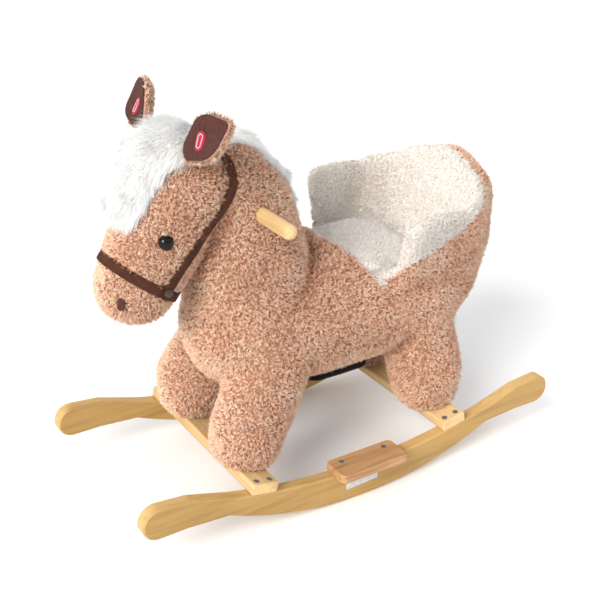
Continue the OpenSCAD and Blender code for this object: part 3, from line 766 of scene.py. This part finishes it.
# Where the white fur starts, in mm: the poll parts the forelock from the mane
POLL_Y = -176
FORELOCK_HALF, FORELOCK_LOW, FORELOCK_TAPER = 36, 406, (430, 0.5)
MANE_HALF, MANE_LOW, MANE_TAPER = 24, 362, (420, 0.3)
MANE_FRONT, MANE_LEAN, MANE_BACK_Y = (-190, 424), 0.55, -20


def in_forelock(p):
    x, y, z = np.abs(p[:, 0]), p[:, 1], p[:, 2]
    waves = 3 * np.sin(z / 9)
    edge = FORELOCK_HALF + waves - np.maximum(0, FORELOCK_TAPER[0] - z) * FORELOCK_TAPER[1]
    return (x < edge) & (z > FORELOCK_LOW) & (y < POLL_Y)


def in_mane(p):
    x, y, z = np.abs(p[:, 0]), p[:, 1], p[:, 2]
    edge = MANE_HALF - np.maximum(0, MANE_TAPER[0] - z) * MANE_TAPER[1]
    behind = y + MANE_LEAN * (z - MANE_FRONT[1]) > MANE_FRONT[0]
    return (x < edge) & (z > MANE_LOW) & (y >= POLL_Y) & (y < MANE_BACK_Y) & behind


# ---- the tan and cream piles

# Tufts to each square millimetre, on the horse and on its cushion and ears
PILE_DENSITY, PAD_DENSITY = 0.235, 0.2
# All in mm: the strands' length, curl and half width, and how far a tuft spreads. Then how much the
# shading follows the cloth, how much the tone changes over it, and how much it changes by chance
TAN_PILE = (5.6, 1.6, 0.32, 0.7), 0.2, (0.2, 0.22)
LINING_PILE = (4.6, 1.8, 0.36, 1.0), 0.45, (0.12, 0.24)
CUSHION_PILE = (4.4, 1.7, 0.36, 1.0), 0.5, (0.12, 0.18)
EAR_PILE = (4.6, 1.8, 0.34, 0.9), 0.5, (0.12, 0.22)
# Painted shade in creases: tufts this many mm deep in a crease get their tone lowered by up to this
# much
CREASE_DEPTH, CREASE_SHADE = 4.0, 0.4

place, normal = scatter(SKIN_POINTS, SKIN_TRIS, SKIN_NORMALS, PILE_DENSITY, RNG)
cover = cover_of(place)
open_skin = clear_of_fittings(place / MM)
white = in_forelock(place / MM) | in_mane(place / MM)
# How deep each tuft's root lies in a crease, for the painted shade
creases = np.array([SKIN_HOLLOWS[SKIN_TREE.find_nearest(Vector(p))[2]] for p in place])
CUSHION_BOX = np.array(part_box("seat_cushion"))
CUSHION_OVERLAP = 6
CUSHION_BOX += np.array(((1,), (-1,))) * CUSHION_OVERLAP * MM
in_box = (place > CUSHION_BOX[0]) & (place < CUSHION_BOX[1])
SEAT_TOP_Z = 0.3
under_cushion = in_box[:, 0] & in_box[:, 1] & (place[:, 2] < SEAT_TOP_Z)


def lay_pile(stem, place, normal, pile, material, slot_name, seed, deep):
    """Adds a pile to places on a cloth. deep, from 0 to 1, says how far each tuft lies in a crease,
    and lowers its tone there as painted shade.
    """
    size, share, spots = pile
    path, radii, shade = curly(place, normal, *size, RNG, seed)
    tone = tones(path[:, 0], *spots, RNG, seed)
    # Painted shade: tufts deep in creases get darker tones
    tone = np.maximum(tone - np.repeat(deep, TUFT) * CREASE_SHADE, 0.02)
    pile_pieces(stem, path, radii, tone, material, shade, share)


def lay_skin_pile(stem, pick, *settings):
    deep = np.clip(creases[pick] / CREASE_DEPTH, 0, 1)
    lay_pile(stem, place[pick], normal[pick], *settings, deep)


def lay_flat_pile(stem, place, normal, *settings):
    lay_pile(stem, place, normal, *settings, np.zeros(len(place)))


FUR = {stem: [stem] for stem in ("body", "neck", "head", "back")}
FUR["legs"] = ["leg_" + leg for leg in LEGS]
for seed, (stem, covers) in enumerate(FUR.items()):
    pick = np.isin(cover, covers) & open_skin & ~white
    lay_skin_pile("pile_" + stem, pick, TAN_PILE, tan_strands, "tan_plush", seed)
pick = (cover == "lining") & ~under_cushion
lay_skin_pile("pile_lining", pick, LINING_PILE, cream_strands, "cream_plush", 9)

# ---- seat cushion


PAD_FRAMES = 20
PINNED_HEIGHT = 3
PAD_PRESSURE = 4.0
MOST_SWELL = 4.0


def pressed_pad(name, source):
    """Cloth blown up from the source's surface, its underside pinned and its movement capped."""
    pad = new_object(name, source.data.copy())
    pad.matrix_world = source.matrix_world
    voxelled(pad, VOXEL)
    start, _, _ = arrays_of(pad.data)
    pin = pad.vertex_groups.new(name="under")
    low = start[:, 2].min()
    held = np.nonzero(start[:, 2] < low + PINNED_HEIGHT * MM)[0]
    pin.add([int(i) for i in held], 1.0, "REPLACE")
    cloth = pad.modifiers.new("cloth", "CLOTH")
    cloth.settings.use_pressure = True
    cloth.settings.uniform_pressure_force = PAD_PRESSURE
    cloth.settings.vertex_group_mass = "under"
    cloth.settings.quality = 5
    cloth.settings.tension_stiffness = 12
    cloth.settings.bending_stiffness = 0.3
    cloth.settings.effector_weights.gravity = 0
    cloth.point_cache.frame_start, cloth.point_cache.frame_end = 1, PAD_FRAMES
    for step in range(1, PAD_FRAMES + 1):
        bpy.context.scene.frame_set(step)
    applied(pad)
    moved, _, _ = arrays_of(pad.data)
    shift = moved - start
    reach = np.linalg.norm(shift, axis=1, keepdims=True)
    shift *= np.minimum(1, MOST_SWELL * MM / np.maximum(reach, 1e-9))
    pad.data.vertices.foreach_set("co", (start + shift).ravel())
    pad.data.update()
    bpy.context.scene.frame_set(1)
    return smoothed(pad, 0.5, 4)


pad = pressed_pad("seat_pad", NODES["seat_cushion"])
stuff(pad, LUMP_DEPTH * MM, 0.03, 41)
smooth_shaded(pad.data)
dress(pad, cream_knit, "cream_plush", "seat_cushion", 0.6)
place, normal = scatter(*arrays_of(pad.data), PAD_DENSITY, RNG)
pick = normal[:, 2] > -0.2
cream = cream_strands, "cream_plush"
lay_flat_pile("pile_cushion", place[pick], normal[pick], CUSHION_PILE, *cream, 42)

# ---- forelock, mane and tail


HAIR_RINGS = 4
HAIR_PATCH = 0.03


def hair_tones(place, mean, broad, seed):
    """A tone for each hair: its lock's and its own."""
    own = RNG.normal(0, 0.12, len(place))
    return np.clip(mean + broad * lumps(place, HAIR_PATCH, seed) + own, 0.02, 0.98)


def combed(place, normal, flow, length, lift, fat, rng, seed):
    """Long fine hair that leaves the skin and lies over along flow. Lengths in mm."""
    n = len(place)
    stray = vector_lumps(place, 0.014, seed) * 0.55 + rng.normal(0, 0.16, (n, 3))
    flow = unit(flow + stray)
    reach = (length * (0.7 + 0.5 * rng.random(n)) * MM)[:, None]
    up = (lift * (0.6 + 0.7 * rng.random(n)))[:, None]
    root = place - normal * 1.0 * MM
    middle = root + (normal * up + flow * 0.35) * reach
    tip = root + (normal * up * 0.9 + flow * 0.95) * reach
    steps = np.linspace(0, 1, HAIR_RINGS)
    rings_along = [root * (1 - s) ** 2 + middle * 2 * s * (1 - s) + tip * s * s for s in steps]
    path = np.stack(rings_along, 1)
    size = fat * (0.7 + 0.6 * rng.random(n)) * MM
    shape = np.append(np.linspace(1.0, 0.45, HAIR_RINGS - 1), 0.0)
    return path, size[:, None] * shape[None]


def down_the_skin(place, normal, away_from, pull):
    """Direction along the skin, away from a point and pulled by a vector."""
    flow = unit(place / MM - np.array(away_from)) + np.array(pull)
    flow -= normal * np.sum(flow * normal, 1, keepdims=True)
    return unit(flow)


def hair_on(region, stem, density, length, lift, away_from, pull, seed):
    """Covers a region of the skin with combed hair."""
    place, normal = scatter(SKIN_POINTS, SKIN_TRIS, SKIN_NORMALS, density, RNG)
    pick = region(place / MM)
    place, normal = place[pick], normal[pick]
    flow = down_the_skin(place, normal, away_from, pull)
    path, radii = combed(place, normal, flow, length, lift, 0.25, RNG, seed)
    tone = hair_tones(place, 0.62, 0.5, seed)
    pile_pieces(stem, path, radii, tone, white_strands, normal, 0.85)


hair_on(in_forelock, "forelock_hair", 4.0, 28, 0.42, (0, -150, 560), (0, -0.4, -0.6), 21)
hair_on(in_mane, "mane_hair", 2.6, 19, 0.45, (0, -190, 520), (0, 0.4, -0.5), 22)

face_points = centres / MM
for name, region, cad in (("forelock_base", in_forelock, "forelock"), ("mane_base", in_mane, "mane")):
    base = patch(name, region(face_points), thickness=5.0, offset=1)
    dress(base, white_knit, "white_fur", cad, 0.5)

TAIL = [((0, 212, 262), 18), ((0, 230, 222), 18), ((0, 230, 150), 15), ((0, 224, 118), 8)]
tail = new_object("tail_base", hull_mesh("tail_base", cloud_of(TAIL, -6.5)))
voxelled(tail, 4.0)
smoothed(tail, 0.5, 4)
smooth_shaded(tail.data)
dress(tail, white_knit, "white_fur", "tail", 0.5)
place, normal = scatter(*arrays_of(tail.data), 1.6, RNG)
flow = np.tile(np.array([0, 0.1, -1.0]), (len(place), 1)) + normal * 0.15
path, radii = combed(place, normal, flow, 30, 0.1, 0.35, RNG, 23)
tone = hair_tones(place, 0.6, 0.4, 23)
pile_pieces("tail_hair", path, radii, tone, white_strands, normal, 0.7)

# ---- ears

EAR_CENTRE = (80, -201, 497)
EAR_POSE = (
    Matrix.Translation(Vector(EAR_CENTRE) * MM)
    @ Matrix.Rotation(math.radians(10), 4, "Z")
    @ Matrix.Rotation(math.radians(67), 4, "X")
    @ Matrix.Rotation(math.radians(40), 4, "Z")
)
MIRROR = Matrix.Scale(-1, 4, (1, 0, 0))
EAR_CIRCLES = [((-24, 0), 14), ((2, 0), 26), ((29, 0), 8)]


def directions(count):
    """Unit vectors all round a plane."""
    angles = np.linspace(0, 2 * math.pi, count, endpoint=False)
    return [np.array((math.cos(angle), math.sin(angle))) for angle in angles]


def ear_edge(count):
    """The ear's outline in its own plane."""
    edge = []
    for d in directions(count):
        centre, radius = max(EAR_CIRCLES, key=lambda c: d @ np.array(c[0]) + c[1])
        edge.append(np.array(centre) + d * radius)
    return np.array(edge)


def cup(x, y):
    """How far forward the ear's sides curl, and how it nods at its tip."""
    return 5.0 * (y / 22) ** 2 + 2.0 * np.clip(x / 30, 0, 1) ** 2


def tube_faces(rings, size, closed):
    """The quads between rings of size points, and end caps unless the tube is closed."""
    faces = []
    for k in range(rings if closed else rings - 1):
        first, second = k * size, (k + 1) % rings * size
        for j in range(size):
            n = (j + 1) % size
            faces.append((first + j, first + n, second + n, second + j))
    if not closed:
        faces.append(tuple(range(size))[::-1])
        faces.append(tuple((rings - 1) * size + j for j in range(size)))
    return faces


def tube(name, verts, faces, matrix):
    """A smooth piece of these points and faces, moved by matrix. Points in metres."""
    mesh = bpy.data.meshes.new(name)
    mesh.from_pydata([tuple(v) for v in verts], [], faces)
    bm = bmesh.new()
    bm.from_mesh(mesh)
    bmesh.ops.transform(bm, matrix=matrix, verts=bm.verts)
    bmesh.ops.recalc_face_normals(bm, faces=bm.faces)
    bm.to_mesh(mesh)
    bm.free()
    return new_object(name, smooth_shaded(mesh))


def ring_surface(name, layers, matrix):
    """A closed piece through rings of points: each layer is an array of (x, y, z) in mm."""
    verts = np.concatenate(layers) * MM
    return tube(name, verts, tube_faces(len(layers), len(layers[0]), False), matrix)


def ear_layer(scale, z):
    """One ring of the ear: its outline made smaller, z mm above the ear's cupped middle surface."""
    edge = ear_edge(72) * scale
    return np.column_stack([edge, z + cup(edge[:, 0], edge[:, 1])])


def stitched(name, colour, thread, scale):
    """Satin stitches laid side by side."""
    stops = [(0.2, thread), (0.7, colour)]
    return grained(name, 0.55, "TexWave", scale, stops, 0.7, 0.0006, distortion=0.6, detail=2.0)


suede_mat = knit_material("suede", (0.045, 0.012, 0.009), (0.085, 0.026, 0.018), 420)
red_mat = stitched("red_satin", (0.66, 0.02, 0.07), (0.42, 0.01, 0.04), 900)
loop_mat = stitched("white_thread", (0.88, 0.72, 0.74), (0.70, 0.45, 0.50), 1500)
PATCH_X = -6.0
PATCH_TURN = math.radians(-34)
PATCH_COS, PATCH_SIN = math.cos(PATCH_TURN), math.sin(PATCH_TURN)
PATCH_AXES = np.array(((PATCH_COS, PATCH_SIN), (-PATCH_SIN, PATCH_COS)))


def stadium(half_long, radius, count=40):
    """An outline with two straight sides, its long axis along y."""
    shift = [np.array((0, math.copysign(half_long, d[1]))) for d in directions(count)]
    return np.array(directions(count)) * radius + shift


def patch_layer(outline, z):
    edge = outline @ PATCH_AXES + np.array((PATCH_X, 0))
    return np.column_stack([edge, z + cup(edge[:, 0], edge[:, 1])])


# Rings of the ear's parts: (scale, height), and of the patch: (half length, radius, height)
EAR_BACK = [
    (0.25, -7.2), (0.5, -6.6), (0.75, -5.2), (0.9, -3.2), (0.97, -1.0),
    (0.985, 1.2), (0.95, 3.0), (0.88, 3.6), (0.6, 3.4), (0.3, 3.4),
]
EAR_SUEDE = [(0.93, 3.7), (0.95, 4.6), (0.92, 5.4), (0.6, 5.2), (0.3, 5.1)]
EAR_SATIN = [(4.4, 6.4, 5.3), (4.4, 6.6, 7.2), (4.4, 6.0, 7.9), (3.2, 3.2, 8.2), (1.5, 0.8, 8.25)]
PILE_EDGE = 1.8
# The white loop on the patch: half length, radius, height, and its thread's sides
LOOP_HALF, LOOP_RADIUS, LOOP_Z = 4.3, 3.2, 8.2
LOOP_POINTS, THREAD_SIDES = 36, 6
THREAD_WIDE, THREAD_HIGH = 0.8, 0.6

for word, pose in (("left", EAR_POSE), ("right", MIRROR @ EAR_POSE)):
    ear = ring_surface("ear_cover_" + word, [ear_layer(*ring) for ring in EAR_BACK], pose)
    dress(ear, tan_knit, "tan_plush", "ear_" + word, 0.7)
    place, normal = scatter(*arrays_of(ear.data), PAD_DENSITY, RNG)
    inverse = pose.inverted()
    local = np.array([inverse @ Vector(p) for p in place]) / MM
    pick = local[:, 2] - cup(local[:, 0], local[:, 1]) < PILE_EDGE
    tan = tan_strands, "tan_plush"
    lay_flat_pile("pile_ear_" + word, place[pick], normal[pick], EAR_PILE, *tan, 31)

    suede = ring_surface("ear_suede_" + word, [ear_layer(*ring) for ring in EAR_SUEDE], pose)
    dress(suede, suede_mat, "brown_suede", "ear_lining_" + word)
    satin = [patch_layer(stadium(half_long, radius), z) for half_long, radius, z in EAR_SATIN]
    badge = ring_surface("ear_badge_" + word, satin, pose)
    dress(badge, red_mat, "red_embroidery", "ear_patches")

    verts = []
    for p, out in zip(stadium(LOOP_HALF, LOOP_RADIUS, LOOP_POINTS), directions(LOOP_POINTS)):
        for wide, high in directions(THREAD_SIDES):
            q = (p + out * THREAD_WIDE * wide) @ PATCH_AXES + np.array((PATCH_X, 0))
            verts.append((q[0] * MM, q[1] * MM, (LOOP_Z + THREAD_HIGH * high + cup(*q)) * MM))
    loop = tube("ear_loop_" + word, verts, tube_faces(LOOP_POINTS, THREAD_SIDES, True), pose)
    dress(loop, loop_mat, "red_embroidery")

# ---- bridle


def ribbon_material():
    """Diagonal weave, a little faded in places."""
    mat, tree, shader = shader_material("ribbon_weave", (0.075, 0.025, 0.012), 0.85)
    diagonal = {"bands_direction": "DIAGONAL", "distortion": 1.5, "detail": 3.0}
    weave = texture(tree, "TexWave", (1400, 1400, 1400), **diagonal)
    fading = texture(tree, "TexNoise", (60, 60, 60), detail=4.0, roughness=0.6)
    shades = [(0.3, (0.045, 0.014, 0.007)), (0.7, (0.100, 0.034, 0.017))]
    tone = ramp(tree, fading, shades)
    tree.links.new(tone.outputs["Color"], shader.inputs["Base Color"])
    add_bump(tree, shader, weave, 0.5, 0.0005)
    shader.inputs["Specular IOR Level"].default_value = 0.2
    return mat


ribbon_mat = ribbon_material()
STRAP_THICK = 1.8
LIFT = 5.0


def ribbon(name, path, across, closed):
    """A flat strap with round edges along (place, normal) pairs; across gives its width direction."""
    outline = []
    r = STRAP_THICK / 2
    for side in (1, -1):
        for a in np.linspace(math.pi / 2, -math.pi / 2, 5):
            outline.append((side * (STRAP_W / 2 - r + r * math.cos(a)), side * r * math.sin(a)))
    verts = []
    count = len(path)
    for k, (place, normal) in enumerate(path):
        w = across[k]
        for u, v in outline:
            verts.append(place + w * u * MM + normal * v * MM)
    faces = tube_faces(count, len(outline), closed)
    return tube(name, verts, faces, Matrix.Identity(4))


nose_path = [(place + normal * LIFT * MM, normal) for place, normal in NOSEBAND]
band = ribbon("noseband_ribbon", nose_path, [Vector(NOSE_NORMAL)] * len(nose_path), True)
dress(band, ribbon_mat, "brown_ribbon", "noseband")

stall_path = [on_skin(p, LIFT) for p in HEADSTALL]
places = np.array([p for p, _ in stall_path])
for _ in range(3):
    places[1:-1] = (places[:-2] + 2 * places[1:-1] + places[2:]) / 4
along = unit(np.gradient(places, axis=0))
stall_path = [(Vector(p), n) for p, (_, n) in zip(places, stall_path)]
widths = [Vector(t).cross(n).normalized() for t, (_, n) in zip(along, stall_path)]
stall = ribbon("headstall_ribbon", stall_path, widths, False)
dress(stall, ribbon_mat, "brown_ribbon", "headstall")

bpy.data.objects.remove(skin)

# ---- belly cloth

BELLY_W, BELLY_L, BELLY_CORNER = 112.0, 104.0, 22.0
BELLY_Y, BELLY_EDGE_Z, BELLY_SAG, BELLY_THICK = 8.0, 141.0, 4.0, 0.9


def belly_layer(scale, drop):
    """A round-cornered outline, its height sagging towards the middle."""
    corner = np.array((BELLY_W / 2, BELLY_L / 2)) - BELLY_CORNER
    edge = [np.sign(np.round(d, 9)) * corner + d * BELLY_CORNER for d in directions(96)]
    edge = np.array(edge) * scale
    height = BELLY_EDGE_Z - BELLY_SAG * (1 - scale**2) - drop
    return np.column_stack([edge[:, 0], edge[:, 1] + BELLY_Y, np.full(len(edge), height)])


scales = (0.2, 0.4, 0.6, 0.8, 1.0)
layers = [belly_layer(k, 0.0) for k in scales] + [belly_layer(k, BELLY_THICK) for k in scales[::-1]]
belly = ring_surface("belly_cloth", layers, Matrix.Identity(4))
stuff(belly, 0.8 * MM, 0.03, 51)
belly_weave = knit_material("belly_weave", (0.010, 0.009, 0.009), (0.030, 0.026, 0.024), 900)
belly.data.materials.append(belly_weave)
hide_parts("belly_lining")
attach(belly, HORSE)

# ---- woods, on the CAD's own parts


def wood_material(name, dark, light, grain_scale, ring_scale, rough, painted_side_shade=None):
    """Streaks and broad rings along the grain. The last argument darkens the faces that look sideways
    along X, as painted shade.
    """
    mat, tree, shader = shader_material(name, light, rough)
    streak = texture(tree, "TexNoise", grain_scale, detail=6.0, roughness=0.6)
    broad = texture(tree, "TexNoise", ring_scale, detail=2.0, roughness=0.5)
    blend = node(tree, "Math", operation="ADD")
    tree.links.new(streak, blend.inputs[0])
    tree.links.new(broad, blend.inputs[1])
    half = node(tree, "Math", operation="MULTIPLY")
    half.inputs[1].default_value = 0.5
    tree.links.new(blend.outputs[0], half.inputs[0])
    lightest = tuple(min(1, c * 1.08) for c in light)
    tone = ramp(tree, half.outputs[0], [(0.36, dark), (0.52, light), (0.66, lightest)])
    if painted_side_shade is None:
        tree.links.new(tone.outputs["Color"], shader.inputs["Base Color"])
    else:
        # Painted shade: faces whose normal points along X are darkened
        face = tree.nodes.new("ShaderNodeNewGeometry")
        parts = tree.nodes.new("ShaderNodeSeparateXYZ")
        tree.links.new(face.outputs["Normal"], parts.inputs[0])
        size = node(tree, "Math", operation="ABSOLUTE")
        tree.links.new(parts.outputs["X"], size.inputs[0])
        side_shade = ramp(tree, size.outputs[0], [(0.5, (1, 1, 1)), (0.9, painted_side_shade)])
        over = node(tree, "VectorMath", operation="MULTIPLY")
        tree.links.new(tone.outputs["Color"], over.inputs[0])
        tree.links.new(side_shade.outputs["Color"], over.inputs[1])
        tree.links.new(over.outputs[0], shader.inputs["Base Color"])
    add_bump(tree, shader, streak, 0.25, 0.0006)
    return mat


BIRCH_TONES = (0.46, 0.28, 0.11), (0.68, 0.47, 0.23)
ROCKER_TONES = (0.42, 0.25, 0.08), (0.58, 0.37, 0.14)
BEECH_TONES = (0.34, 0.17, 0.07), (0.50, 0.28, 0.13)
# The grain runs along X in the bars and along Y in the rockers and footrests
birch = wood_material("birch_wood", *BIRCH_TONES, (9, 160, 160), (3, 30, 30), 0.5)
# The rockers' faces that look sideways along X get painted shade
rocker_birch = wood_material(
    "rocker_birch", *ROCKER_TONES, (160, 9, 160), (30, 3, 30), 0.55, (0.76, 0.72, 0.58)
)
beech = wood_material("beech_wood", *BEECH_TONES, (220, 14, 220), (40, 5, 40), 0.45)
WOODEN = {
    "crossbar_front": birch,
    "crossbar_rear": birch,
    "handle_bar": birch,
    "rocker_left": rocker_birch,
    "rocker_right": rocker_birch,
    "footrest_left": beech,
    "footrest_right": beech,
}
for part, wood in WOODEN.items():
    NODES[part].data.materials.clear()
    NODES[part].data.materials.append(wood)

# ---- eyes, nostrils, studs, screws, label


def plain_grain(name, low, high, rough, scale, coat=0.0, bump=0.2):
    """Moulded, painted or cast surfaces: faint mottling and fine grain."""
    stops = [(0.3, low), (0.7, high)]
    mat = grained(name, rough, "TexNoise", scale, stops, bump, 0.0004, detail=4.0, roughness=0.6)
    principled(mat).inputs["Coat Weight"].default_value = coat
    return mat


PLY_TONES = (0.42, 0.28, 0.14), (0.60, 0.44, 0.26)
PINE_TONES = (0.50, 0.33, 0.16), (0.70, 0.52, 0.30)
# Slot: material name, dark tone, light tone, roughness, grain scale, and any coat and bump
GRAINS = {
    "black_eye": ("eye_black", (0.002, 0.002, 0.002), (0.006, 0.004, 0.004), 0.1, 90, 0.0, 0.0),
    "stud_plastic": ("stud_brown", (0.020, 0.010, 0.008), (0.045, 0.020, 0.014), 0.3, 200, 0.3, 0.05),
    "steel": ("screw_steel", (0.10, 0.085, 0.075), (0.22, 0.20, 0.18), 0.35, 600),
    "paper_label": ("label_paper", (0.46, 0.47, 0.48), (0.66, 0.67, 0.68), 0.6, 150),
    "zinc_plate": ("zinc", (0.42, 0.44, 0.46), (0.62, 0.64, 0.66), 0.35, 300),
    "white_plastic": ("ivory_shell", (0.72, 0.70, 0.64), (0.82, 0.80, 0.75), 0.45, 300),
    "red_plastic": ("red_shell", (0.45, 0.05, 0.02), (0.60, 0.08, 0.04), 0.4, 300),
    "silicone": ("silicone_skin", (0.74, 0.74, 0.72), (0.84, 0.84, 0.82), 0.5, 300),
    "lead_sleeve": ("sleeve", (0.25, 0.02, 0.02), (0.40, 0.04, 0.04), 0.5, 400),
    "board_green": ("circuit_green", (0.01, 0.10, 0.03), (0.03, 0.18, 0.06), 0.4, 500),
    "speaker_black": ("speaker_cone", (0.01, 0.01, 0.01), (0.03, 0.03, 0.03), 0.6, 500),
    "battery_skin": ("cell_skin", (0.03, 0.14, 0.07), (0.06, 0.24, 0.12), 0.35, 200),
}
FINISHES = {slot: plain_grain(*settings) for slot, settings in GRAINS.items()}
FINISHES["dark_cloth"] = knit_material(
    "belly_cloth", (0.010, 0.009, 0.009), (0.035, 0.030, 0.028), 900
)
FINISHES["brown_suede"] = suede_mat
FINISHES["plywood"] = wood_material("ply_wood", *PLY_TONES, (90, 8, 90), (20, 3, 20), 0.7)
FINISHES["pine"] = wood_material("pine_wood", *PINE_TONES, (120, 120, 7), (20, 20, 3), 0.65)
principled(FINISHES["black_eye"]).inputs["Specular IOR Level"].default_value = 0.25
SLOT_OF = {part["node"]: part["material_slot"] for part in frame["record"]["subparts"]}
for part, obj in NODES.items():
    finish = FINISHES.get(SLOT_OF[part])
    if finish and not obj.hide_render:
        obj.data.materials.clear()
        obj.data.materials.append(finish)

# ---- floor, light, camera

floor_mesh = bpy.data.meshes.new("floor")
FLOOR_REACH = 9
corners = [(FLOOR_REACH * x, FLOOR_REACH * y, 0) for x, y in ((-1, -1), (1, -1), (1, 1), (-1, 1))]
floor_mesh.from_pydata(corners, [], [(0, 1, 2, 3)])
floor = new_object("floor", floor_mesh)
floor_mat, _, _ = shader_material("floor_paper", (0.93, 0.93, 0.93), 0.9)
floor_mesh.materials.append(floor_mat)

world = bpy.data.worlds.new("studio")
bpy.context.scene.world = world
bpy.context.scene.view_settings.view_transform = "Standard"
world.use_nodes = True
background = world.node_tree.nodes["Background"]
background.inputs["Color"].default_value = (0.97, 0.985, 1.0, 1)
background.inputs["Strength"].default_value = 0.86

# Where the key light stands, as seen from the horse
KEY_DIRECTION = (0.46, -1.0, 0.66)
key_data = bpy.data.lights.new("key", "SUN")
key_data.angle = math.radians(30)
key_data.energy = 3.4
key_data.color = (1.0, 0.97, 0.93)
key = new_object("key", key_data)
key.rotation_euler = Vector(KEY_DIRECTION).to_track_quat("Z", "Y").to_euler()

# What the camera looks at, and its angles and distance from there
TARGET = Vector((0, -0.0234, 0.2325))
AZIMUTH, ELEVATION, ROLL = math.radians(55.81), math.radians(25.95), math.radians(1.99)
DISTANCE = 1.3718
level = Vector((math.sin(AZIMUTH), -math.cos(AZIMUTH), 0))
away = level * math.cos(ELEVATION) + Vector((0, 0, math.sin(ELEVATION)))
camera_data = bpy.data.cameras.new("camera")
camera_data.lens = 62.88
camera_data.sensor_width = 36
camera = new_object("camera", camera_data)
look = (-away).to_track_quat("-Z", "Y").to_matrix().to_4x4()
stand = Matrix.Translation(TARGET + away * DISTANCE)
camera.matrix_world = stand @ look @ Matrix.Rotation(ROLL, 4, "Z")
bpy.context.scene.camera = camera
